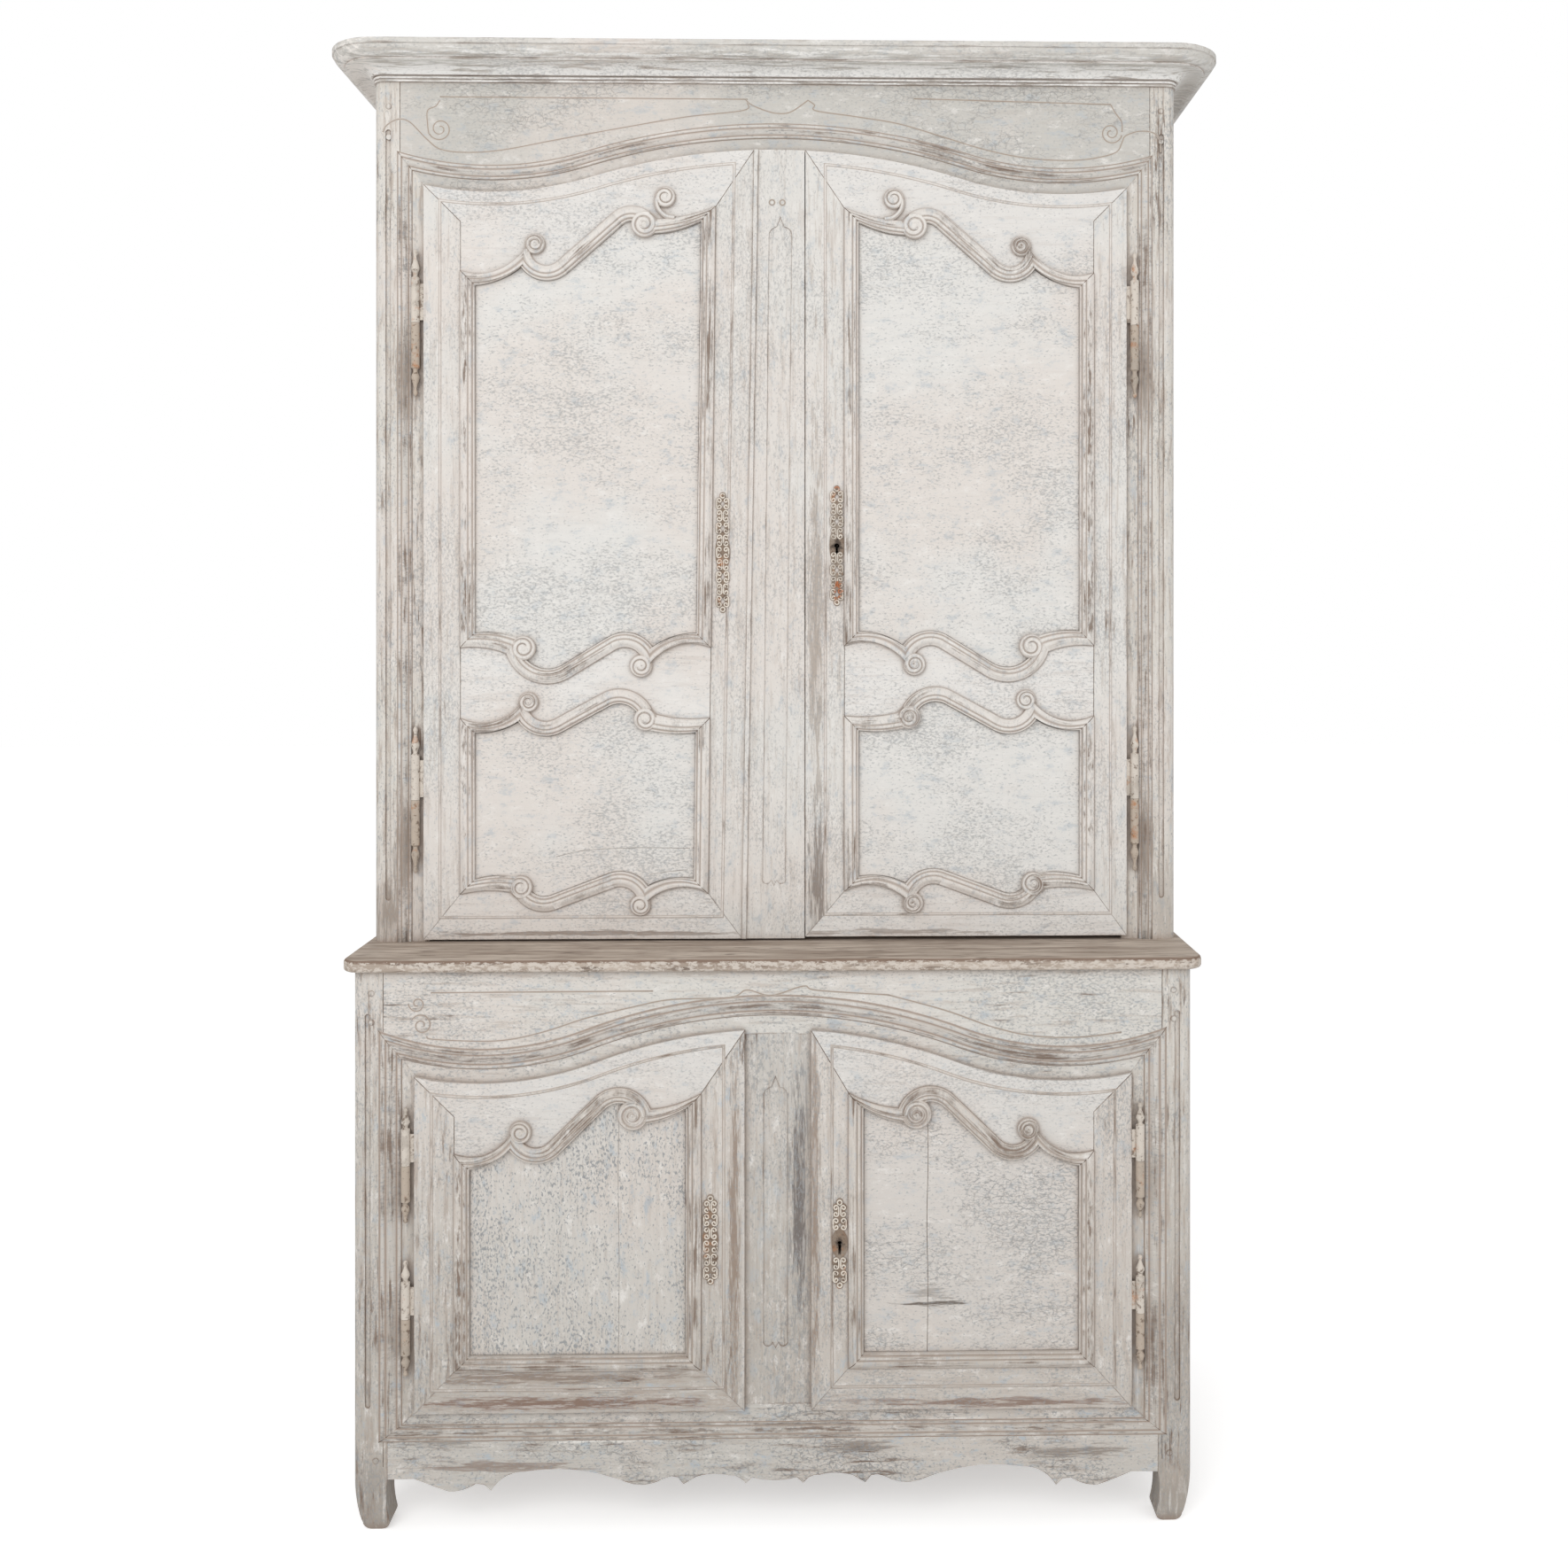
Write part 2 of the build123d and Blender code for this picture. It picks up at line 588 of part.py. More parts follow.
def lower_post_outline():
    """Front view of the left post: pilaster, moulded flank, and a turned-in foot with soft corners."""
    outer, inner = LOWER.mitre()
    left = -LOWER.half
    right = left + FOOT_WIDTH
    sill_z = SILL_TOP - LIP - REVEAL - SILL_OGEE
    toe, heel = left + TOE_TURN, right + HEEL_SPREAD
    r = FOOT_ROUND
    return [
        (left, LEDGE_BASE), (-LOWER.seam, LEDGE_BASE), outer, inner, (-LOWER.opening, SILL_TOP),
        (right, sill_z), (right, FOOT_TOP), ((right - 2, FOOT_TOP / 2), (heel, r)),
        arc_station((heel - r, r), r, 0, -90), (toe + r, 0), arc_station((toe + r, r), r, -90, -180),
        ((left + TOE_TURN / 3, FOOT_TOP / 2 + 8), (left, FOOT_TOP + 30)),
    ]


def lower_case():
    """Fixed pieces of the buffet, from the feet to the ledge."""
    front, top = LOWER, LEDGE_BASE
    outer, inner = front.mitre()
    sill_z = SILL_TOP - LIP - REVEAL - SILL_OGEE
    foot_x = FOOT_WIDTH - front.half
    tenon = front.tenon(-front.seam, outer[1] + LOWER_TENON_TRIM[0], top - LOWER_TENON_TRIM[1])
    foot_tenon = front.tenon(foot_x, APRON_LINE + FOOT_TENON_TRIM[0], sill_z - FOOT_TENON_TRIM[1])
    peg_x = -front.seam - TENON_LENGTH / 2
    pegs = [front.peg(peg_x, outer[1] + LOWER_PEG_LEVELS[0]), front.peg(peg_x, top - LOWER_PEG_LEVELS[1]),
            front.peg(foot_x - TENON_LENGTH / 2, (APRON_LINE + sill_z) / 2)]
    twins = [mirrored(peg) for peg in pegs]
    panel, side_rails = front.side(SIDE_BASE, top)

    post = front.post(lower_post_outline(), 0, top)
    tuck = [(front.face - 1, -1), (front.face + FOOT_TUCK, -1), ((front.face + 1.5, 14), (front.face, 42)),
            (front.face - 1, 42)]
    post -= long_board(tuck, -front.half - 1, -front.opening)
    post -= front.flute(FOOT_TOP + LOWER_FLUTE_STOPS[0], top - LOWER_FLUTE_STOPS[1])
    post -= [tenon, foot_tenon, panel] + side_rails + pegs
    post -= [hinge_blade(front, split, LOWER_BARREL) for split in LOWER_SPLITS]

    rail = front.arched_rail(top) + [tenon, mirrored(tenon)]
    sag = REVEAL_SINK / 8
    middle = (front.face + front.sunk) / 2
    section = [
        (front.back, 0), (front.back, SILL_TOP), (front.sunk, SILL_TOP), (front.sunk, sill_z + SILL_OGEE),
        ((front.sunk - sag, sill_z + SILL_OGEE * 0.75), (middle, sill_z + SILL_OGEE / 2)),
        ((front.face + sag, sill_z + SILL_OGEE * 0.25), (front.face, sill_z)), (front.face, 0),
    ]
    foot_line = backwards(apron_line()) + flipped(apron_line())[1:]
    outline = [(-front.opening, SILL_TOP), (foot_x, sill_z)] + foot_line + [(-foot_x, sill_z),
                                                                           (front.opening, SILL_TOP)]
    apron = long_board(section, -front.half, front.half) & slab(outline, front.face - 1, front.back + 1)
    apron += [foot_tenon, mirrored(foot_tenon)]

    x0, x1 = CENTRE_STILE_X - CENTRE_STILE / 2, CENTRE_STILE_X + CENTRE_STILE / 2
    stile = slab([(x0, SILL_TOP)] + front.arch.run(x0, x1, -LIP) + [(x1, SILL_TOP)], front.sunk, front.back)
    stub_y = (front.sunk + front.back - TENON_THICK) / 2
    crown = front.arch.z(x0, -LIP)
    ends = ((crown - 2, crown + STUB_LENGTH), (SILL_TOP - STUB_LENGTH, SILL_TOP + 1))
    stubs = [block(x0 + STUB_TRIM, x1 - STUB_TRIM, stub_y, stub_y + TENON_THICK, z0, z1) for z0, z1 in ends]
    stile += stubs
    stile -= incised_panel(STILE_INCISED_X, STILE_INCISED_X, front.sunk,
                           SILL_TOP + STILE_INCISED_LEVELS[0], crown - STILE_INCISED_LEVELS[1])
    shelf_z = FLOOR_BASE + BOARD_THICK + LOWER_SHELF_HEIGHT
    parts = {
        "lower_post_left": post,
        "lower_post_right": mirrored(post),
        "lower_rear_posts": both(front.rear_post(0, top) - [panel] - side_rails),
        "lower_top_rail": rail - pegs - twins - stubs[0],
        "apron_rail": apron - pegs - twins - stubs[1],
        "centre_stile": stile,
        "ledge": ledge(),
        "lower_floor": front.floor(front.back, FLOOR_BASE),
        "lower_back_boards": front.back_boards(FLOOR_BASE, top),
        "lower_side_panels": both(panel),
        "lower_side_rails": group(*[both(rail) for rail in side_rails]),
        "lower_shelf": front.shelf(shelf_z),
    }
    return parts, pegs, [front.cleats(shelf_z), front.cleats(FLOOR_BASE)]


def ledge():
    """Top of the buffet: a thick board with a rounded nose on three sides."""
    half = LOWER.half + LEDGE_END_OVERHANG
    nose = LOWER.face - LEDGE_OVERHANG
    r = CORNER_ROUND + LEDGE_OVERHANG
    board = plan_board([
        (-half, BACK), (-half, nose + r), arc_station((-half + r, nose + r), r, 180, 270),
        (half - r, nose), arc_station((half - r, nose + r), r, 270, 360), (half, BACK),
    ], LEDGE_BASE, LEDGE_TOP)
    for z, radius in ((LEDGE_TOP, LEDGE_NOSE), (LEDGE_BASE, LEDGE_UNDERCUT)):
        rim = [e for e in board.edges() if abs(e.center().Z - z) < 0.01 and e.center().Y < BACK - 1]
        board = fillet(rim, radius)
    return board


# ================================================================ carved panel lines
class PanelLine:
    """Top or bottom line of a door panel: a short hollow end, an S with a scroll eye, a far hollow end.

    It is drawn with a along the line and b away from the panel, from the start corner to the far
    corner; a bottom line is the same drawing turned half round. The offset o of a parallel line is
    measured from the middle of the rib towards the panel. dip, crest, eye and the small eyes are
    (a, b, radius) in hundredths of the line's width; the crest is placed from the far corner, and the
    eye's centre from the crest's top.
    """

    def __init__(self, start, far, dip, crest, eye, *small_eyes):
        self.start = start
        self.way = 1 if far[0] > start[0] else -1
        self.far = (self.way * (far[0] - start[0]), self.way * (far[1] - start[1]))
        drawn = (dip, crest, eye, *small_eyes)
        dip, crest, eye, *small_eyes = [[share * self.far[0] / 100 for share in spot] for spot in drawn]
        crest_a, crest_b = self.far[0] - crest[0], self.far[1] + crest[1]
        self.dip_r, self.crest_r, self.eye_r = dip[2], crest[2], eye[2]
        self.dip_c = (dip[0], dip[1] + self.dip_r)
        self.crest_c = (crest_a, crest_b - self.crest_r)
        self.eye_c = (crest_a + eye[0], crest_b - eye[1])
        self.small_eyes = small_eyes
        da, db = self.crest_c[0] - self.dip_c[0], self.crest_c[1] - self.dip_c[1]
        self.slope = degrees(atan2(db, da) - acos((self.dip_r + self.crest_r) / hypot(da, db)))

    def place(self, station):
        """Drawing point or round station, moved to the door's front view."""
        if is_round(station):
            return (self.place(station[0]), self.place(station[1]))
        return (self.start[0] + self.way * station[0], self.start[1] + self.way * station[1])

    def run(self, o):
        """Stations from the start corner to the far corner."""
        dip_r, crest_r, eye_r = self.dip_r + o, self.crest_r - o, self.eye_r + o - HALF_RIB
        begin = (HALF_RIB + o, -HALF_RIB - o)
        end = (self.far[0] - HALF_RIB - o, self.far[1] - HALF_RIB - o)
        cusp = 214 if o > 0 else 180
        first = on_circle(self.dip_c, dip_r, cusp)
        sag = START_SAG - o * (START_SAG - START_SAG_INNER) / HALF_RIB
        stations = [begin, (((begin[0] + first[0]) / 2, (begin[1] + first[1]) / 2 - sag), first)]
        stations.append(arc_station(self.dip_c, dip_r, cusp, 360 + self.slope))
        stations.append(on_circle(self.crest_c, crest_r, 180 + self.slope))
        leave_b = self.eye_c[1] - EYE_LEAVE * self.eye_r - o
        if o >= HALF_RIB:
            leave, sweep = self.meet(crest_r, eye_r)
            stations.append(arc_station(self.crest_c, crest_r, 180 + self.slope, leave))
            last = degrees(asin((leave_b - self.eye_c[1]) / eye_r))
            stations.append(arc_station(self.eye_c, eye_r, sweep, 360 + last))
        else:
            last = degrees(asin((leave_b - self.crest_c[1]) / crest_r))
            stations.append(arc_station(self.crest_c, crest_r, 180 + self.slope, last))
        away = point_of(stations[-1])
        stations.append((((away[0] + end[0]) / 2, (away[1] + end[1]) / 2 - END_SAG), end))
        return [self.place(station) for station in stations]

    def meet(self, crest_r, eye_r):
        """Where the crest's arc first meets the scroll eye: the angle on each of the two circles."""
        da, db = self.eye_c[0] - self.crest_c[0], self.eye_c[1] - self.crest_c[1]
        apart = hypot(da, db)
        spread = degrees(acos((crest_r ** 2 + apart ** 2 - eye_r ** 2) / (2 * crest_r * apart)))
        angle = degrees(atan2(db, da)) + spread
        point = on_circle(self.crest_c, crest_r, angle)
        return angle, degrees(atan2(point[1] - self.eye_c[1], point[0] - self.eye_c[0])) % 360

    def eyes(self):
        """Centres and radii of the scroll eyes, in the front view."""
        small = [(self.place((a, b)), r) for a, b, r in self.small_eyes]
        return [(self.place(self.eye_c), self.eye_r)] + small


class StraightLine:
    """Plain bottom line of a panel, from its lock corner to its hinge corner."""

    def __init__(self, start, far):
        self.start = start
        self.finish = far

    def run(self, o):
        """Stations from the lock corner to the hinge corner."""
        reach = HALF_RIB + o
        level = self.start[1] + reach
        return [(self.start[0] - reach, level), (self.finish[0] + reach, level)]

    def eyes(self):
        """A plain line has no scroll eyes."""
        return []


# ================================================================ doors
class Door:
    """Left-hand door drawn with its hinges at the left; the right-hand one is its mirror image.

    lock is the x of the meeting edge at the top and at the foot; lines is a list of (top, bottom)
    panel lines from the top panel down; lipped says whether the foot and the lock edge have a lip.
    """

    def __init__(self, front, foot, lock, lines, lipped):
        self.front = front
        self.face = front.face
        self.rear = front.face + DOOR_THICK
        self.hinge_x = -front.lip
        self.foot = foot
        self.lock = lock
        self.lines = lines
        self.lipped = lipped

    def loop(self, pair, o):
        """Closed outline that runs o inside the middle of one panel's rib."""
        return pair[0].run(o) + pair[1].run(o)

    def blank(self):
        """The door's whole outline as one board, rebated at the back where it has a lip."""
        arch, face = self.front.arch, self.face
        x0, (x1, x2) = self.hinge_x, self.lock
        solid = slab([(x0, self.foot)] + arch.run(x0, x1) + [(x2, self.foot)], face, self.rear)
        rebate = LIP + DOOR_GAP
        y0, y1 = face + LIP_THICK, self.rear + 1
        above = arch.run(x0 - 1, x1 + 1, -rebate) + [(x1 + 1, CARCASS_TOP), (x0 - 1, CARCASS_TOP)]
        solid -= [block(x0 - 1, x0 + rebate, y0, y1, self.foot - 1, CARCASS_TOP), slab(above, y0, y1)]
        if self.lipped:
            solid -= [block(x0 - 1, x1 + 1, y0, y1, self.foot - 1, self.foot + rebate),
                      block(x1 - rebate, x1 + 1, y0, y1, self.foot - 1, CARCASS_TOP)]
        return solid

    def frame(self):
        """Mitred frame before it is sawn apart: openings, grooves, stepped ribs and scroll eyes."""
        solid, face = self.blank(), self.face
        for pair in self.lines:
            for inset, height in ((0.0, RIB_FOOT), (RIB_STEP, RIB_HEIGHT)):
                solid += slab(self.loop(pair, inset - HALF_RIB), face - height, face + 1)
            for line in pair:
                for (x, z), radius in line.eyes():
                    disc = extrude(Plane.XZ * Circle(radius), RIB_HEIGHT, dir=(0, -1, 0))
                    boss = extrude(Plane.XZ * Circle(radius * 0.4), RIB_HEIGHT + EYE_BOSS, dir=(0, -1, 0))
                    solid += [Pos(x, face, z) * disc, Pos(x, face, z) * boss]
            low_step = slab(self.loop(pair, HALF_RIB - RIB_STEP), face - RIB_HEIGHT - 1, face - RIB_FOOT)
            for line in pair:
                for (x, z), radius in line.eyes():
                    low_step -= Pos(x, face, z) * extrude(Plane.XZ * Circle(radius), 20, dir=(0, -1, 0))
            solid -= low_step
            solid -= slab(self.loop(pair, HALF_RIB), face - 20, self.rear + 1)
            solid -= self.tongue(pair)
        return solid

    def tongue(self, pair):
        """The part of a panel that lies in the frame's groove, and all between."""
        reach = offset(outline_face(self.loop(pair, HALF_RIB)), GROOVE_DEPTH, kind=Kind.ARC)
        y = self.face + GROOVE_BACK + GROOVE_WIDTH
        return Pos(0, y, 0) * extrude(Plane.XZ * reach, GROOVE_WIDTH, dir=(0, -1, 0))

    def panels(self):
        """Panels held in the grooves, each with a raised field that fills its opening."""
        y = self.face + GROOVE_BACK
        panels = []
        for pair in self.lines:
            field = offset(outline_face(self.loop(pair, HALF_RIB)), -FIELD_CLEAR, kind=Kind.INTERSECTION)
            raised = extrude(Plane.XZ * field, y - self.face - FIELD_RECESS, dir=(0, -1, 0))
            panels.append(self.tongue(pair) + Pos(0, y, 0) * raised)
        return panels

    def seams(self):
        """Seams of the hinge stile and of the lock stile, from above the door to below it."""
        hinge, lock = [], []
        for top, bottom in self.lines:
            ends = [(top.run(o)[0], point_of(top.run(o)[-1]), bottom.run(o)[0], point_of(bottom.run(o)[-1]))
                    for o in (-HALF_RIB, HALF_RIB)]
            outer, inner = ends
            hinge += [outer[0], inner[0], inner[3], outer[3]]
            lock += [outer[1], inner[1], inner[2], outer[2]]
        x0, (x1, x2) = self.hinge_x, self.lock
        head_x, head_z = hinge[0][0], self.front.arch.z(x0)
        knee = (head_x, head_z - (head_x - x0))
        hinge = [beyond(knee, (x0, head_z), 30), knee] + hinge + [beyond(hinge[-1], (x0, self.foot), 30)]
        head, foot = (x1, self.front.arch.z(x1)), (x2, self.foot)
        lock = [beyond(lock[0], head, 30)] + lock + [beyond(lock[-1], foot, 30)]
        return hinge, lock

    def joinery(self):
        """Tenons from the rails into the stiles: for the top rail, any middle rail, the foot rail."""
        y0, y1 = self.face + GROOVE_BACK, self.face + GROOVE_BACK + GROOVE_WIDTH
        spans = []
        top = self.lines[0][0].run(-HALF_RIB)
        corners = (top[0], point_of(top[-1]))
        low, high = TOP_TENON_LEVELS
        spans.append([(c, c[1] + low, c[1] + high) for c in corners])
        for (_, above), (below, _) in zip(self.lines, self.lines[1:]):
            over, under = above.run(-HALF_RIB), below.run(-HALF_RIB)
            hinge_over, lock_over = point_of(over[-1]), over[0]
            hinge_under, lock_under = under[0], point_of(under[-1])
            spans.append([(hinge_under, hinge_under[1] + MID_TENON_TRIM, hinge_over[1] - MID_TENON_TRIM),
                          (lock_under, lock_under[1] + MID_TENON_TRIM, lock_over[1] - MID_TENON_TRIM)])
        foot_line = self.lines[-1][1].run(-HALF_RIB)
        low, high = FOOT_TENON_LEVELS
        spans.append([(c, c[1] - low, c[1] - high) for c in (point_of(foot_line[-1]), foot_line[0])])
        found = []
        for hinge, lock in spans:
            (hx, _), hz0, hz1 = hinge
            (lx, _), lz0, lz1 = lock
            found.append([block(hx - DOOR_TENON, hx + DOOR_TENON_ROOT, y0, y1, hz0, hz1),
                          block(lx - DOOR_TENON_ROOT, lx + DOOR_TENON, y0, y1, lz0, lz1)])
        return found

    def pieces(self):
        """Two stiles and the rails from the top down, each tenoned."""
        hinge, lock = self.seams()
        solid = self.frame()
        y0, y1 = self.face - 20, self.rear + 2
        left, right, high = self.hinge_x - 60, self.lock[0] + 60, CARCASS_TOP
        hinge_saw = slab([(left, high)] + hinge + [(left, self.foot - 60)], y0, y1)
        lock_saw = slab([(right, high)] + lock + [(right, self.foot - 60)], y0, y1)
        tenons = self.joinery()
        all_tenons = [tenon for pair in tenons for tenon in pair]
        stiles = group((solid & hinge_saw) - all_tenons, (solid & lock_saw) - all_tenons)
        rest = solid - [hinge_saw, lock_saw]
        rails = sorted(rest.solids(), key=lambda s: -s.center().Z)
        return stiles, [rail + pair for rail, pair in zip(rails, tenons)]


def upper_lines(hinge_stile, lock_xs, foot):
    """Carved lines of an upper door's two panels. lock_xs are the lock-side corners from the top down."""
    hinge_x = -UPPER.lip + hinge_stile
    low = foot + UPPER_BOTTOM_RAIL
    mid = low + LOWER_PANEL_HEIGHT
    over = mid + UPPER_MID_RAIL
    head = UPPER_ARCH.z(hinge_x) - UPPER_TOP_RAIL_HINGE
    head_lock = UPPER_ARCH.z(lock_xs[0]) - UPPER_TOP_RAIL_LOCK
    upper = (
        PanelLine((hinge_x, head), (lock_xs[0], head_lock), (33.7, -0.7, 9.3), (32.8, -2.8, 8.8),
                  (4.9, 4.3, 4.65), (29.3, 10.5, 3.5), (80.3, 29.2, 3.6)),
        PanelLine((lock_xs[1], over), (hinge_x, over), (34.4, -3, 10.5), (34.7, 11.6, 14.2),
                  (9.5, 11.4, 4.4), (27.9, 7.4, 4)),
    )
    lower = (
        PanelLine((hinge_x, mid), (lock_xs[2], mid), (34.2, -4.2, 10.5), (36.3, 8.8, 11.6),
                  (10.5, 9.2, 4.2), (27.4, 6.5, 3.5)),
        PanelLine((lock_xs[3], low), (hinge_x, low), (35.6, -5.8, 10.5), (33.7, 4.2, 10.7),
                  (9.2, 7, 4.2), (27.4, 4.7, 3.7)),
    )
    return [upper, lower]


def lower_lines(hinge_stile, lock_x, foot):
    """Carved lines of the single panel of a lower door."""
    hinge_x = -LOWER.lip + hinge_stile
    low = foot + LOWER_BOTTOM_RAIL
    head = LOWER_ARCH.z(hinge_x) - LOWER_TOP_RAIL_HINGE
    head_lock = LOWER_ARCH.z(lock_x) - LOWER_TOP_RAIL_LOCK
    top = PanelLine((hinge_x, head), (lock_x, head_lock), (33.1, -0.7, 10.4), (33.3, -0.4, 10.8),
                    (5.7, 8, 5.5), (26.9, 9, 4))
    return [(top, StraightLine((lock_x, low), (hinge_x, low)))]


def door_nodes(prefix, door, cuts, flip):
    """Stiles, rails and panels of one door as named nodes, the ironwork's slots cut out of the timber."""
    stiles, rails = door.pieces()
    panels = group(*door.panels())
    turn = mirrored if flip else (lambda piece: piece)
    nodes = {prefix + "_stiles": group(*[stile - cuts for stile in stiles.solids()])}
    nodes[prefix + "_top_rail"] = rails[0]
    nodes[prefix + ("_lower_rails" if len(rails) > 2 else "_bottom_rail")] = group(*rails[1:])
    nodes[prefix + ("_panels" if len(rails) > 2 else "_panel")] = panels
    return {name: turn(piece) for name, piece in nodes.items()}


# ================================================================ ironwork
def finial(height):
    """Turned tip of a hinge, standing on the barrel's end: collar, neck, vase and button."""
    r, h = BARREL_RADIUS, height
    shares = [(0.55, 0.12), (0.5, 0.17), (0.95, 0.36), (0.8, 0.5), (0.42, 0.68), (0.34, 0.8), (0.52, 0.88),
              (0.4, 0.96), (0.12, 1.0)]
    turned = [(r * across, h * up) for across, up in shares]
    edges = chain([(0, 0), (r, 0), (r, h * 0.07), turned[0]])
    edges += [Spline(turned), Line(turned[-1], (0, h)), Line((0, h), (0, 0))]
    return revolve(Plane.XZ * make_face(edges), Axis.Z, 360)


def hinge_blade(front, split, barrel):
    """Blade of the fixed knuckle, driven into the left post."""
    x, y = -front.axis, front.axis_y
    return block(x - BLADE_THICK / 2, x + BLADE_THICK / 2, y + BLADE_ROOT, y + BLADE_REACH,
                 split - barrel + BLADE_INSET, split - BLADE_INSET)


def door_blade(front, split, barrel):
    """Blade of the door's knuckle, let into the edge of the left door."""
    x, y = -front.axis, front.axis_y
    return block(x + BLADE_ROOT, x + BLADE_REACH, y, y + BLADE_THICK, split + BLADE_INSET,
                 split + barrel - BLADE_INSET)


def fixed_knuckle(front, split, barrel, tip):
    """Lower half of a left hinge: barrel, pin, finial and blade."""
    place = Pos(-front.axis, front.axis_y, split)
    turned = extrude(Circle(BARREL_RADIUS), -barrel) + extrude(Circle(PIN_RADIUS), PIN_HEIGHT)
    turned += Pos(0, 0, -barrel) * mirror(finial(tip), about=Plane.XY)
    return place * turned + hinge_blade(front, split, barrel)


def door_knuckle(front, split, barrel, tip):
    """Upper half of a left hinge, bored to drop over the pin."""
    place = Pos(-front.axis, front.axis_y, split + KNUCKLE_GAP)
    bore = extrude(Circle(PIN_RADIUS + PIN_CLEAR), PIN_HEIGHT + 2)
    turned = extrude(Circle(BARREL_RADIUS), barrel) + Pos(0, 0, barrel) * finial(tip)
    return place * turned + door_blade(front, split, barrel) - place * bore


def escutcheon(x, z, size, face, keyed):
    """Pierced plate: lobes shrinking towards both tips, a slot through each, a keyhole if it is keyed."""
    width, height = size
    y = face - PLATE_THICK

    def cut(shape, depth=PLATE_THICK):
        """Flat shape of the front view as a plate."""
        return Pos(x, face, z) * extrude(Plane.XZ * shape, depth, dir=(0, -1, 0))

    spine = cut(Rectangle(width * 0.34, height * 0.9))
    plate = spine + cut(Ellipse(width / 2, height * 0.16))
    for up in (-1, 1):
        for rise, share in ((0.2, 0.46), (0.31, 0.36), (0.4, 0.44)):
            plate += cut(Pos(0, up * height * rise) * Ellipse(width * share, height * 0.055))
        plate += cut(Pos(0, up * height * 0.47) * Ellipse(width * 0.2, height * 0.03))
    for up in (-1, 1):
        for rise in (0.2, 0.4):
            hole = Pos(0, up * height * rise) * Ellipse(width * 0.16, height * 0.028)
            plate -= cut(hole, PLATE_THICK + 1)
    if keyed:
        plate -= keyhole(x, z, face - PLATE_THICK - 1, face + 1)
    return plate


def keyhole(x, z, y0, y1):
    """Keyhole: a round hole with a parallel slot below it."""
    r = KEYHOLE_RADIUS
    round_part = slab([(x - r, z), ((x, z + r), (x + r, z)), ((x, z - r), (x - r, z))], y0, y1)
    return round_part + slab([(x - r / 2, z), (x + r / 2, z), (x + r / 2, z - KEYHOLE_DROP),
                              (x - r / 2, z - KEYHOLE_DROP)], y0, y1)


def lock(front, edge, plate_x, z):
    """Rim lock of a right-hand door: a case on the back of its lock stile and the bolt in it."""
    width, depth, height = LOCK_CASE
    long, thick, tall = LOCK_BOLT
    x0 = edge + LOCK_SETBACK
    y0 = front.face + DOOR_THICK
    bolt_y = y0 + (depth - thick) / 2
    bolt_z = z + LOCK_BOLT_RISE
    case = block(x0, x0 + width, y0, y0 + depth, z - height / 2, z + height / 2)
    c = SLIDE_CLEAR
    case -= block(x0 - 1, x0 + long + c, bolt_y - c, bolt_y + thick + c, bolt_z - tall / 2 - c,
                  bolt_z + tall / 2 + c)
    case -= block(x0 + LOCK_WALL, x0 + width - LOCK_WALL, bolt_y - c, bolt_y + thick + c,
                  bolt_z - tall / 2 - c - KEY_CHAMBER, bolt_z - tall / 2 - c)
    case -= keyhole(plate_x, z, y0 - 1, bolt_y)
    bolt = block(x0, x0 + long, bolt_y, bolt_y + thick, bolt_z - tall / 2, bolt_z + tall / 2)
    return case, bolt


def slide_bolt(front, x):
    """Surface bolt on the back of a left-hand door, drawn down, and the two guides it runs in."""
    width, thick, long = SLIDE_BOLT
    c = SLIDE_CLEAR
    top = front.arch.z(x, -LIP) - SLIDE_MARGIN
    y0 = front.face + DOOR_THICK
    bolt = block(x - width / 2, x + width / 2, y0 + c, y0 + c + thick, top - long, top)
    middle = top - long / 2
    knob = Pos(x, y0 + c + thick + BOLT_KNOB * 0.7, middle - SLIDE_THROW / 2) * Sphere(BOLT_KNOB)
    half = width / 2 + c
    guides = []
    for z in (middle - GUIDE_OFFSET, middle + GUIDE_OFFSET):
        z0, z1 = z - GUIDE_HEIGHT / 2, z + GUIDE_HEIGHT / 2
        outside = half + GUIDE_WALL
        strap = block(x - outside, x + outside, y0, y0 + thick + 2 * c + GUIDE_WALL, z0, z1)
        strap += block(x - half - GUIDE_FOOT, x + half + GUIDE_FOOT, y0, y0 + GUIDE_WALL, z0, z1)
        guides.append(strap - block(x - half, x + half, y0 - 1, y0 + thick + 2 * c, z0 - 1, z1 + 1))
    return bolt + knob, group(*guides)


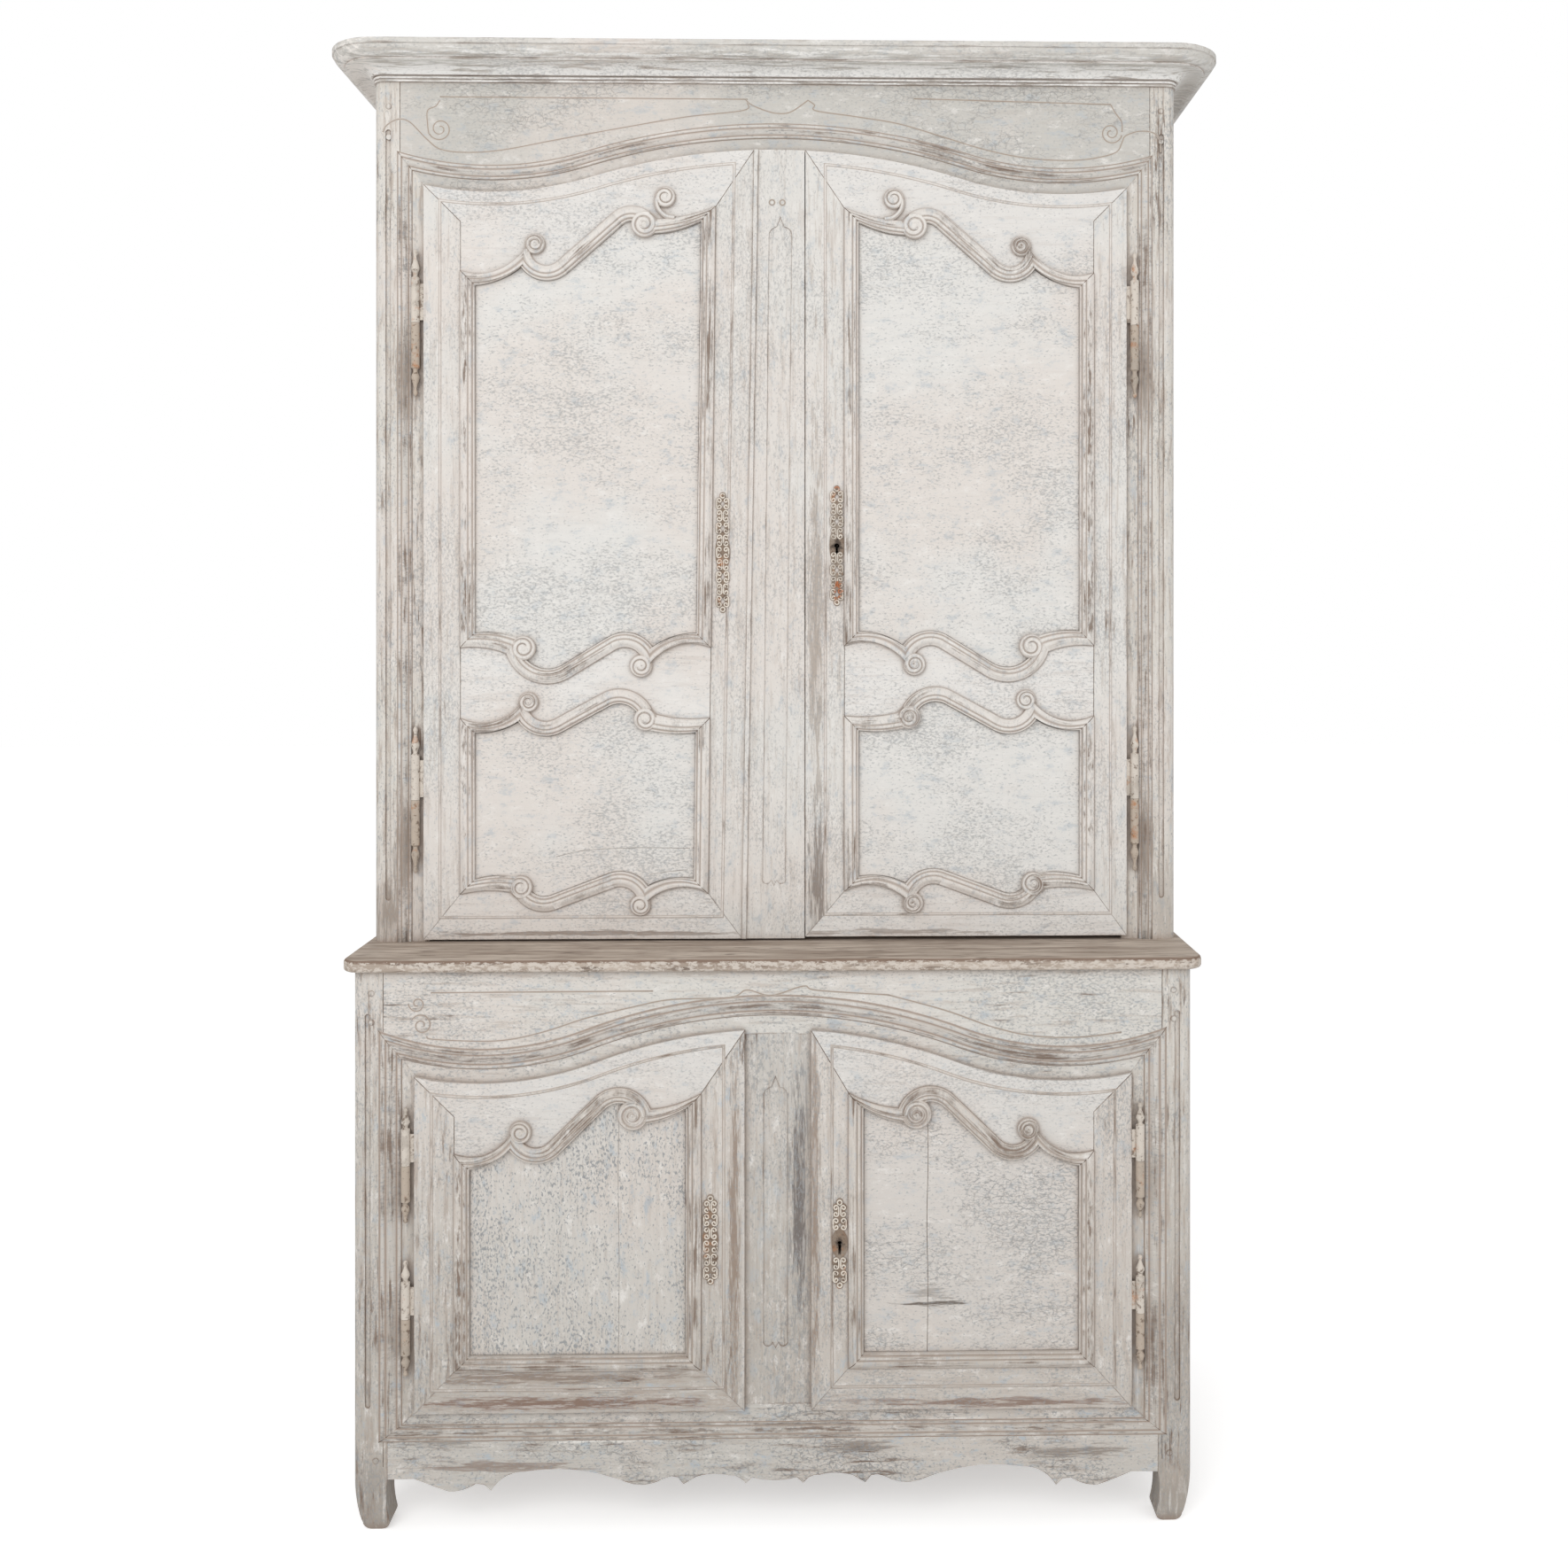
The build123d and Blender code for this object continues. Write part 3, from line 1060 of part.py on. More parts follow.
# ================================================================ door leaves with their ironwork
def upper_doors():
    """Both upper doors, the left one carrying the strip that covers the meeting edges."""
    front, nodes = UPPER, {}
    blades = [door_blade(front, split, UPPER_BARREL) for split in UPPER_SPLITS]
    knuckles = group(*[door_knuckle(front, split, UPPER_BARREL, UPPER_FINIAL) for split in UPPER_SPLITS])

    foot = LEDGE_TOP + LEFT_DOOR_CLEAR
    top_z = UPPER_ARCH.z(STRIP_LEFT_TOP)
    levels = [top_z, foot + UPPER_BOTTOM_RAIL + LOWER_PANEL_HEIGHT + UPPER_MID_RAIL,
              foot + UPPER_BOTTOM_RAIL + LOWER_PANEL_HEIGHT, foot + UPPER_BOTTOM_RAIL]
    taper = (STRIP_LEFT_FOOT - STRIP_LEFT_TOP) / (top_z - foot)
    edges = [STRIP_LEFT_TOP + taper * (top_z - z) for z in levels]
    lock_xs = [edge - stile for edge, stile in zip(edges, LEFT_UPPER_LOCK_STILE)]
    left = Door(front, foot, (STRIP_LEFT_TOP, STRIP_LEFT_FOOT),
                upper_lines(UPPER_HINGE_STILE[0], lock_xs, foot), False)
    nodes.update(door_nodes("upper_left", left, blades, False))
    nodes["upper_left_knuckles"] = knuckles
    plate_z = LEDGE_TOP + UPPER_PLATE_RISE[0]
    nodes["upper_left_escutcheon"] = escutcheon(-UPPER_PLATE_X[0], plate_z, UPPER_PLATE, front.face, False)
    nodes["meeting_strip"] = meeting_strip(foot, top_z)
    nodes["upper_left_bolt"], nodes["upper_left_bolt_guides"] = slide_bolt(front, UPPER_SLIDE_X)

    foot = LEDGE_TOP + RIGHT_DOOR_CLEAR
    edge = STRIP_RIGHT + STRIP_GAP
    lock_x = -edge - RIGHT_UPPER_LOCK_STILE
    right = Door(front, foot, (-edge, -edge), upper_lines(UPPER_HINGE_STILE[1], [lock_x] * 4, foot), False)
    plate_x, plate_z = UPPER_PLATE_X[1], LEDGE_TOP + UPPER_PLATE_RISE[1]
    hole = keyhole(-plate_x, plate_z, front.face - 1, front.face + DOOR_THICK + 1)
    nodes.update(door_nodes("upper_right", right, blades + [hole], True))
    nodes["upper_right_knuckles"] = mirrored(knuckles)
    nodes["upper_right_escutcheon"] = escutcheon(plate_x, plate_z, UPPER_PLATE, front.face, True)
    nodes["upper_lock_case"], nodes["upper_lock_bolt"] = lock(front, edge, plate_x, plate_z)
    return nodes


def meeting_strip(foot, top_z):
    """Tapered strip fixed to the left door's meeting edge, with a bead and a long incised panel."""
    front = UPPER
    edge = [(STRIP_LEFT_FOOT, foot)] + UPPER_ARCH.run(STRIP_LEFT_TOP, STRIP_RIGHT) + [(STRIP_RIGHT, foot)]
    strip = slab(edge, front.face, front.face + DOOR_THICK)
    rebate = LIP + DOOR_GAP
    left, right = STRIP_LEFT_FOOT - 1, STRIP_RIGHT + 1
    above = UPPER_ARCH.run(left, right, -rebate) + [(right, CARCASS_TOP), (left, CARCASS_TOP)]
    strip -= slab(above, front.face + LIP_THICK, front.face + DOOR_THICK + 1)
    bead = [(STRIP_LEFT_FOOT, foot), (STRIP_LEFT_TOP, top_z), (STRIP_LEFT_TOP + STRIP_BEAD, top_z),
            (STRIP_LEFT_FOOT + STRIP_BEAD, foot)]
    strip += slab(bead, front.face - STRIP_BEAD_HEIGHT, front.face)
    low, high = foot + STRIP_INCISED_LEVELS[0], top_z - STRIP_INCISED_LEVELS[1]
    return strip - incised_panel(STRIP_INCISED_X[1], STRIP_INCISED_X[0], front.face, low, high)


def lower_doors():
    """Both lower doors, lipped all round."""
    front, nodes = LOWER, {}
    foot = LOWER_DOOR_FOOT
    half = CENTRE_STILE / 2 - LIP
    edges = (CENTRE_STILE_X - half, CENTRE_STILE_X + half)
    blades = [door_blade(front, split, LOWER_BARREL) for split in LOWER_SPLITS]
    knuckles = group(*[door_knuckle(front, split, LOWER_BARREL, LOWER_FINIAL) for split in LOWER_SPLITS])

    lock_x = edges[0] - LOWER_LOCK_STILE[0]
    left = Door(front, foot, (edges[0], edges[0]), lower_lines(LOWER_HINGE_STILE[0], lock_x, foot), True)
    nodes.update(door_nodes("lower_left", left, blades, False))
    nodes["lower_left_knuckles"] = knuckles
    plate_z = foot + LOWER_PLATE_RISE[0]
    nodes["lower_left_escutcheon"] = escutcheon(-LOWER_PLATE_X[0], plate_z, LOWER_PLATE, front.face, False)
    nodes["lower_left_bolt"], nodes["lower_left_bolt_guides"] = slide_bolt(front, LOWER_SLIDE_X)

    lock_x = -edges[1] - LOWER_LOCK_STILE[1]
    right = Door(front, foot, (-edges[1], -edges[1]), lower_lines(LOWER_HINGE_STILE[1], lock_x, foot), True)
    plate_x, plate_z = LOWER_PLATE_X[1], foot + LOWER_PLATE_RISE[1]
    hole = keyhole(-plate_x, plate_z, front.face - 1, front.face + DOOR_THICK + 1)
    nodes.update(door_nodes("lower_right", right, blades + [hole], True))
    nodes["lower_right_knuckles"] = mirrored(knuckles)
    nodes["lower_right_escutcheon"] = escutcheon(plate_x, plate_z, LOWER_PLATE, front.face, True)
    case_edge = edges[1] + LIP + DOOR_GAP
    nodes["lower_lock_case"], nodes["lower_lock_bolt"] = lock(front, case_edge, plate_x, plate_z)
    return nodes


# ================================================================ the whole cupboard
def build():
    """Every node of the assembly, by name, in the shared frame."""
    nodes, upper_pegs, upper_cleats = upper_case()
    lower_nodes, lower_pegs, lower_cleats = lower_case()
    nodes.update(lower_nodes)
    nodes["pegs"] = group(*[both(peg) for peg in upper_pegs + lower_pegs])
    nodes["cleats"] = group(*upper_cleats, *lower_cleats)
    fixed = [fixed_knuckle(UPPER, split, UPPER_BARREL, UPPER_FINIAL) for split in UPPER_SPLITS]
    fixed += [fixed_knuckle(LOWER, split, LOWER_BARREL, LOWER_FINIAL) for split in LOWER_SPLITS]
    nodes["hinge_pins"] = group(*[both(knuckle) for knuckle in fixed])
    nodes.update(upper_doors())
    nodes.update(lower_doors())
    return nodes


os.makedirs("parts", exist_ok=True)
for node_name, node in build().items():
    export_step(node, "parts/" + node_name + ".step")
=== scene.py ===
"""Looks of a two-body provincial cupboard in worn limewash: carving, incised lines, ironwork, finishes."""

from math import atan2, radians, sin

import bpy
import numpy as np
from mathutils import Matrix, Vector


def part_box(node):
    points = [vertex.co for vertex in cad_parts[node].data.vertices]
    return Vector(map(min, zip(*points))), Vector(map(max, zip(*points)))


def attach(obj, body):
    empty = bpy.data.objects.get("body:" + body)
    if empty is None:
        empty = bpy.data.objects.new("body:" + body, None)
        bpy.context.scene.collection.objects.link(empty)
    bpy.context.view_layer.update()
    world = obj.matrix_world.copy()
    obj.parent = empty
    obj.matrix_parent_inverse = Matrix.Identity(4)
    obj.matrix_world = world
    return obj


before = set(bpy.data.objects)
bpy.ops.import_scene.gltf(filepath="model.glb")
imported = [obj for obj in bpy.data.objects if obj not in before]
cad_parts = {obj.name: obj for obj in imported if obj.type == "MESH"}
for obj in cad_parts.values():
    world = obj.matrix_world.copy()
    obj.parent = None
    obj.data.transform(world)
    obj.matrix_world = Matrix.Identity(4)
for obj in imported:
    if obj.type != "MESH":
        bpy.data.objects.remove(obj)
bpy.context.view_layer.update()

MM = 0.001
CORNER = {name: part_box(name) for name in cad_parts}


def low(node, axis):
    """Lowest coordinate of a CAD node along an axis, in millimetres."""
    return CORNER[node][0][axis] / MM


def high(node, axis):
    """Highest coordinate of a CAD node along an axis, in millimetres."""
    return CORNER[node][1][axis] / MM


# ---------------------------------------------------------------- sizes of the joinery, in millimetres
UPPER_HALF = high("upper_post_right", 0)
UPPER_FACE = low("upper_post_left", 1)
UPPER_TOP = high("frieze_rail", 2)
UPPER_BASE = low("upper_post_left", 2)
LOWER_HALF = high("lower_post_right", 0)
LOWER_FACE = low("lower_post_left", 1)
LOWER_TOP = high("lower_top_rail", 2)
PANEL_FACE = low("lower_right_panel", 1)

REVEAL = 20.0  # sunk step between a door and the moulding round it
UPPER_MOULD, LOWER_MOULD, SILL_MOULD = 20, 30, 20  # widths of that moulding
UPPER_SEAM = UPPER_HALF - 45  # joints of the posts with the rails, at the mouldings' outer edges
LOWER_SEAM = LOWER_HALF - 50
UPPER_LIP = UPPER_SEAM - UPPER_MOULD - REVEAL  # edges of the door openings
LOWER_LIP = LOWER_SEAM - LOWER_MOULD - REVEAL

RIB_HALF = 12.0
EYE_LEAVE = 0.16  # where a rib leaves its large scroll eye, down from the eye's middle in radii
EYE_SWELL = 1.08  # an eye overhangs the end of its rib
EYE_SEAT = 5.65  # height off the door's face at which a rib runs under an eye
START_SAG, START_SAG_INNER, END_SAG = 14.0, 7.0, 5.0  # hollows at the two ends of a carved line
CUSP_TURN = 34  # degrees by which the inner side of a rib meets the first hollow later than the outer side
CUSP_BLEND = 7.0  # that turn eases in over this distance to both sides of the rib's middle

UPPER_FOOT_RAIL, SHORT_PANEL, MIDDLE_RAIL = 78, 301, 121  # heights up a leaf, between the ribs' middles
UPPER_HEAD_RAIL, LOWER_HEAD_RAIL = (139, 94), (116, 95)  # at the hinge stile and at the lock stile
LOWER_FOOT_RAIL = 69


# ================================================================ curves of the front view
def arc(centre, radius, start, end, count):
    """Points of a circle between two angles in degrees."""
    t = np.radians(np.linspace(start, end, count))
    return np.stack([centre[0] + radius * np.cos(t), centre[1] + radius * np.sin(t)], -1)


def straight(a, b, count=2):
    """Evenly spaced points from a to b."""
    t = np.linspace(0, 1, count)[:, None]
    return np.asarray(a, float) * (1 - t) + np.asarray(b, float) * t


def through(a, via, b, count):
    """Points of the circle through three points: its centre solves two equal-distance equations."""
    a, via, b = (np.asarray(p, float) for p in (a, via, b))
    rows = 2 * np.array([via - a, b - a])
    centre = np.linalg.solve(rows, [via @ via - a @ a, b @ b - a @ a])
    angles = [np.arctan2(*(p - centre)[::-1]) for p in (a, via, b)]
    first, middle, last = np.unwrap(angles)
    if not min(first, last) <= middle <= max(first, last):
        last += 2 * np.pi * np.sign(middle - first)
    radius = np.linalg.norm(a - centre)
    return arc(centre, radius, np.degrees(first), np.degrees(last), count)


def smooth(points, steps=8):
    """Curve through given points: a cubic per span, its end slopes half the step between neighbours."""
    p = np.asarray(points, float)
    slope = np.gradient(p, axis=0)
    t = np.linspace(0, 1, steps, endpoint=False)[:, None, None]
    a, b, da, db = p[:-1], p[1:], slope[:-1], slope[1:]
    curve = (2 * t**3 - 3 * t**2 + 1) * a + (t**3 - 2 * t**2 + t) * da
    curve = curve + (3 * t**2 - 2 * t**3) * b + (t**3 - t**2) * db
    return np.concatenate([curve.transpose(1, 0, 2).reshape(-1, 2), p[-1:]])


def scroll(centre, radius, start, turns, inner=0.2, count=40):
    """Spiral: the radius falls evenly from the rim to a share of it while the angle turns."""
    t = np.linspace(0, 1, count)
    angle = np.radians(start) + 2 * np.pi * turns * t
    r = radius * (1 - (1 - inner) * t)
    return np.stack([centre[0] + r * np.cos(angle), centre[1] + r * np.sin(angle)], -1)


def beside(path, o):
    """The path moved sideways by o, along the normals of its own direction."""
    along = np.gradient(path, axis=0)
    along /= np.linalg.norm(along, axis=1, keepdims=True)
    return path + o * np.stack([-along[:, 1], along[:, 0]], -1)


class Arch:
    """Crossbow arch: a crown arc between two hollow arcs, tangent to each other."""

    def __init__(self, crown_z, rise, low_x, crown_share):
        self.turn = 2 * atan2(rise, low_x)
        both = low_x / sin(self.turn)
        self.crown_r = both * crown_share
        self.low_r = both - self.crown_r
        self.crown_c = crown_z - self.crown_r
        self.low_x = low_x
        self.low_c = crown_z - rise + self.low_r

    def z(self, x, raised=0.0):
        """Height at x of the line that runs a given distance above the arch."""
        x = np.abs(np.asarray(x, float))
        crown = self.crown_c + np.sqrt(np.maximum((self.crown_r + raised) ** 2 - x**2, 0))
        hollow = self.low_c - np.sqrt(np.maximum((self.low_r - raised) ** 2 - (x - self.low_x) ** 2, 0))
        return np.where(x < (self.crown_r + raised) * sin(self.turn), crown, hollow)

    def line(self, x0, x1, raised=0.0, count=60):
        """Points along that line between two widths."""
        x = np.linspace(x0, x1, count)
        return np.stack([x, self.z(x, raised)], -1)


UPPER_ARCH = Arch(crown_z=UPPER_TOP - 112, rise=74, low_x=UPPER_HALF - 198, crown_share=0.64)
LOWER_ARCH = Arch(crown_z=LOWER_TOP - 98, rise=86, low_x=LOWER_HALF - 209, crown_share=0.61)


class PanelLine:
    """Top or bottom line of a carved panel: a hollow, an S between two scroll eyes, a far hollow.

    The spots (a, b, radius) are in hundredths of the line's width, a along it and b away from the panel: the
    dip and the crest of the S, the large eye measured back from the crest's middle, and the small eyes.
    """

    def __init__(self, start, far, dip, crest, eye, small):
        self.start = start
        self.way = 1 if far[0] > start[0] else -1
        self.far = (self.way * (far[0] - start[0]), self.way * (far[1] - start[1]))
        spots, width = (dip, crest, eye, *small), self.far[0]
        dip, crest, eye, *self.small = [[s * width / 100 for s in spot] for spot in spots]
        crest_a, crest_b = self.far[0] - crest[0], self.far[1] + crest[1]
        self.dip_r, self.crest_r, self.eye_r = dip[2], crest[2], eye[2]
        self.dip_c = np.array((dip[0], dip[1] + self.dip_r))
        self.crest_c = np.array((crest_a, crest_b - self.crest_r))
        self.eye_c = np.array((crest_a + eye[0], crest_b - eye[1]))
        reach = self.crest_c - self.dip_c
        gap = np.arccos((self.dip_r + self.crest_r) / np.linalg.norm(reach))
        self.slope = np.degrees(np.arctan2(reach[1], reach[0]) - gap)

    def place(self, points):
        """Drawing points moved to the front view."""
        return np.asarray(self.start) + self.way * np.asarray(points)

    def run(self, o):
        """Points from the start corner to the far corner, o inside the middle of the rib."""
        dip_r, crest_r = self.dip_r + o, self.crest_r - o
        begin = np.array((RIB_HALF + o, -RIB_HALF - o))
        end = np.array((self.far[0] - RIB_HALF - o, self.far[1] - RIB_HALF - o))
        share = np.clip((o + CUSP_BLEND) / (2 * CUSP_BLEND), 0, 1)
        cusp = 180 + CUSP_TURN * share**2 * (3 - 2 * share)
        dip = arc(self.dip_c, dip_r, cusp, 360 + self.slope, 40)
        leave_b = self.eye_c[1] - EYE_LEAVE * self.eye_r - o
        last = np.degrees(np.arcsin((leave_b - self.crest_c[1]) / crest_r))
        crest = arc(self.crest_c, crest_r, 180 + self.slope, last, 44)
        sag = START_SAG - o * (START_SAG - START_SAG_INNER) / RIB_HALF
        first = through(begin, (begin + dip[0]) / 2 - (0, sag), dip[0], 16)
        final = through(crest[-1], (crest[-1] + end) / 2 - (0, END_SAG), end, 18)
        slant = straight(dip[-1], crest[0], 8)
        return self.place(np.concatenate([first, dip, slant, crest, final]))

    def eyes(self):
        """Centre, radius and entry angle of each scroll eye, in the front view."""
        turned = 0 if self.way > 0 else 180
        rows = [(self.place(self.eye_c), self.eye_r, 60 + turned)]
        rows += [(self.place((a, b)), r, 230 + turned) for a, b, r in self.small]
        return [(centre, EYE_SWELL * r, entry) for centre, r, entry in rows]


class StraightLine:
    """Plain bottom line of a panel, from its lock corner to its hinge corner."""

    def __init__(self, start, far):
        self.start, self.finish = start, far

    def run(self, o):
        """Points from the lock corner to the hinge corner, o inside the middle of the rib."""
        reach = RIB_HALF + o
        return straight((self.start[0] - reach, self.start[1] + reach),
                        (self.finish[0] + reach, self.finish[1] + reach), 126)

    def eyes(self):
        """A plain line has no scroll eyes."""
        return []


# ================================================================ door leaves
class Leaf:
    """One door leaf, drawn as a left-hand one: its planes and panel lines.

    A flip of -1 makes it right-handed. locks are the X of its meeting edge at the top and at the foot.
    """

    def __init__(self, name, arch, face, lip, flip):
        self.name, self.arch, self.face, self.hinge, self.flip = name, arch, face, -lip, flip
        self.foot = low(name + "_stiles", 2)
        self.locks = (high(name + "_stiles", 0) if flip > 0 else -low(name + "_stiles", 0),) * 2
        self.pairs = []

    def lock_x(self, z):
        """Meeting edge at a height: a straight line from its top to its foot."""
        top_z = float(self.arch.z(self.locks[0]))
        return self.locks[0] + (self.locks[1] - self.locks[0]) * (top_z - z) / (top_z - self.foot)

    def heads(self, widths, drops):
        """Top corners of a panel, each a drop below the arch at its width."""
        return [(x, float(self.arch.z(x)) - drop) for x, drop in zip(widths, drops)]

    def loop(self, pair, o):
        """Closed outline that runs o inside the middle of one panel's rib."""
        return np.concatenate([pair[0].run(o), pair[1].run(o)])


def upper_pairs(leaf, hinge_stile, lock_stiles):
    """Lines of an upper leaf's tall panel and low panel, with the lock stile's width at each of the four."""
    hinge_x = leaf.hinge + hinge_stile
    low_z = leaf.foot + UPPER_FOOT_RAIL
    mid_z = low_z + SHORT_PANEL
    over_z = mid_z + MIDDLE_RAIL
    head_x = leaf.locks[0] - lock_stiles[0]
    over_x, mid_x, low_x = (leaf.lock_x(z) - s for z, s in zip((over_z, mid_z, low_z), lock_stiles[1:]))
    tall = (
        PanelLine(*leaf.heads((hinge_x, head_x), UPPER_HEAD_RAIL), dip=(33.7, -0.7, 9.3),
                  crest=(32.8, -2.8, 8.8), eye=(4.9, 4.3, 4.65),
                  small=[(29.3, 10.5, 3.5), (80.3, 29.2, 3.6)]),
        PanelLine((over_x, over_z), (hinge_x, over_z), dip=(34.4, -3, 10.5), crest=(34.7, 11.6, 14.2),
                  eye=(9.5, 11.4, 4.4), small=[(27.9, 7.4, 4)]),
    )
    short = (
        PanelLine((hinge_x, mid_z), (mid_x, mid_z), dip=(34.2, -4.2, 10.5), crest=(36.3, 8.8, 11.6),
                  eye=(10.5, 9.2, 4.2), small=[(27.4, 6.5, 3.5)]),
        PanelLine((low_x, low_z), (hinge_x, low_z), dip=(35.6, -5.8, 10.5), crest=(33.7, 4.2, 10.7),
                  eye=(9.2, 7, 4.2), small=[(27.4, 4.7, 3.7)]),
    )
    leaf.pairs = [tall, short]


def lower_pair(leaf, hinge_stile, lock_stile):
    """Lines of a lower leaf's panel."""
    hinge_x, lock_x = leaf.hinge + hinge_stile, leaf.locks[0] - lock_stile
    low_z = leaf.foot + LOWER_FOOT_RAIL
    top = PanelLine(*leaf.heads((hinge_x, lock_x), LOWER_HEAD_RAIL), dip=(33.1, -0.7, 10.4),
                    crest=(33.3, -0.4, 10.8), eye=(5.7, 8, 5.5), small=[(26.9, 9, 4)])
    leaf.pairs = [(top, StraightLine((lock_x, low_z), (hinge_x, low_z)))]


upper_left = Leaf("upper_left", UPPER_ARCH, UPPER_FACE, UPPER_LIP, 1)
upper_right = Leaf("upper_right", UPPER_ARCH, UPPER_FACE, UPPER_LIP, -1)
lower_left = Leaf("lower_left", LOWER_ARCH, LOWER_FACE, LOWER_LIP, 1)
lower_right = Leaf("lower_right", LOWER_ARCH, LOWER_FACE, LOWER_LIP, -1)
# the left upper leaf's meeting edge leans with the strip; the others are upright
upper_left.locks = (upper_left.locks[0], low("meeting_strip", 0))
upper_pairs(upper_left, hinge_stile=63, lock_stiles=(66.5, 61, 61, 59))
upper_pairs(upper_right, hinge_stile=57, lock_stiles=(67, 67, 67, 67))
lower_pair(lower_left, hinge_stile=65, lock_stile=71)
lower_pair(lower_right, hinge_stile=62.5, lock_stile=61)
LEAVES = [upper_left, upper_right, lower_left, lower_right]


# ================================================================ meshes
def outward(verts, faces):
    """The faces turned so that the closed mesh's signed volume is positive."""
    volume = 0.0
    for face in faces:
        a, b, c = (verts[face[:, i]] for i in (0, 1, 2))
        volume += np.einsum("ij,ij->i", a, np.cross(b, c)).sum()
        if face.shape[1] == 4:
            volume += np.einsum("ij,ij->i", a, np.cross(c, verts[face[:, 3]])).sum()
    return faces if volume > 0 else [face[:, ::-1] for face in faces]


def skin(grid, looped=False):
    """Closed mesh over a grid (along, around, 3): quads that wrap around.

    A looped grid closes on itself; any other gets a fan of triangles to the middle of each end.
    """
    n, m = grid.shape[:2]
    index = np.arange(n * m).reshape(n, m)
    here = index if looped else index[:-1]
    there = np.roll(index, -1, 0) if looped else index[1:]
    quads = np.stack([here, np.roll(here, -1, 1), np.roll(there, -1, 1), there], -1).reshape(-1, 4)
    verts = grid.reshape(-1, 3)
    faces = [quads]
    if not looped:
        verts = np.concatenate([verts, grid[:1].mean(1), grid[-1:].mean(1)])
        first, last = index[0], index[-1]
        hub = np.full(m, n * m)
        faces.append(np.stack([hub, np.roll(first, -1), first], -1))
        faces.append(np.stack([hub + 1, last, np.roll(last, -1)], -1))
    return verts, outward(verts, faces)


def piece(name, body, coat, shells, flip=1, soft=True):
    """One object of several closed shells, in millimetres, riding on a body.

    A shell is (verts, faces, hollow, lay): lay is the distance along and across the cut, for the grain.
    """
    verts, polygons, hollow, lay, start = [], [], [], [], 0
    for points, faces, depth, cut in shells:
        ends = len(points) - len(depth)
        polygons += [row[::flip] for face in faces for row in (face + start).tolist()]
        verts.append(points * (flip, 1, 1))
        hollow.append(np.pad(depth, (0, ends), mode="edge"))
        lay.append(np.pad(cut * MM, ((0, ends), (0, 1)), mode="edge") + (0, 0, start * MM))
        start += len(points)
    mesh = bpy.data.meshes.new(name)
    mesh.from_pydata((np.concatenate(verts) * MM).tolist(), [], polygons)
    depths = mesh.attributes.new("hollow", "FLOAT", "POINT").data
    depths.foreach_set("value", np.concatenate(hollow).astype("f"))
    grain = mesh.attributes.new("lay", "FLOAT_VECTOR", "POINT").data
    grain.foreach_set("vector", np.concatenate(lay).astype("f").ravel())
    mesh.polygons.foreach_set("use_smooth", np.full(len(mesh.polygons), soft))
    mesh.materials.append(coat)
    made = bpy.data.objects.new(name, mesh)
    bpy.context.scene.collection.objects.link(made)
    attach(made, body)
    return made


def relief(lines, profile, face, looped, rise=0.0):
    """Profile (o, height, hollow) carried along the line that each offset o gives, standing off a plane.

    rise, one number or one for each point along the line, lifts it further.
    """
    flat = np.stack([lines(o) for o in profile[:, 0]], 1)
    y = np.broadcast_to(face - profile[:, 1], flat.shape[:2]) - np.reshape(rise, (-1, 1))
    verts, faces = skin(np.stack([flat[..., 0], y, flat[..., 1]], -1), looped)
    middle = flat[:, len(profile) // 2]
    run = np.append(0, np.cumsum(np.linalg.norm(np.diff(middle, axis=0), axis=1)))
    lay = np.stack(np.broadcast_arrays(run[:, None], profile[:, 0]), -1)
    return verts, faces, np.tile(profile[:, 2], len(flat)), lay.reshape(-1, 2)


def band(path, profile, face, rise=0.0):
    """Profile carried along an open path of the front view."""
    return relief(lambda o: beside(path, o), profile, face, False, rise)


def ringed(centre, radius, count, profile, face):
    """Profile carried round a circle of the front view, of which ten degrees close by a last straight."""
    return relief(lambda o: arc(centre, radius - o, 0, 350, count), profile, face, True)


# offset across the rib, height off the door's face, how hollow it is: outer quirk, a long rise to the ridge,
# quirk, inner round, quirk, fillet, and a second fillet down on the panel
RIB = np.array([
    (-12.35, -0.5, 1), (-12.3, 3.15, 1), (-11.6, 3.6, 0.5), (-10.4, 4.2, 0.1), (-8.9, 4.9, 0.1),
    (-7.4, 5.9, 0.05), (-5.8, 7.0, 0), (-4.2, 7.8, 0), (-2.4, 8.2, 0), (-0.6, 8.1, 0), (0.6, 7.4, 0.3),
    (1.3, 6.2, 0.9), (1.9, 5.8, 1), (2.5, 6.1, 0.9), (3.2, 6.9, 0.3), (4.4, 7.5, 0), (5.8, 7.4, 0),
    (7.0, 6.8, 0.1), (7.8, 5.6, 0.4), (8.4, 4.2, 0.9), (9.0, 3.3, 1), (9.7, 3.3, 1), (10.3, 3.9, 0.4),
    (11.2, 4.2, 0), (11.9, 3.8, 0.1), (12.3, 3.2, 0.2), (12.5, -3.4, 0.5), (13.0, -4.7, 0.7),
    (13.8, -4.9, 0.1), (15.0, -5.0, 0), (15.6, -5.3, 0.2), (15.7, -7.0, 0.6),
])
# a fine bead between two incised lines
BEAD = np.array([
    (-2.7, -0.4, 1), (-2.6, 0.06, 0.3), (-2.0, 0.1, 1), (-1.6, 0.25, 0.9), (-1.1, 0.85, 0.1), (0, 1.1, 0),
    (1.1, 0.85, 0.1), (1.6, 0.25, 0.9), (2.0, 0.1, 1), (2.6, 0.06, 0.3), (2.7, -0.4, 1),
])
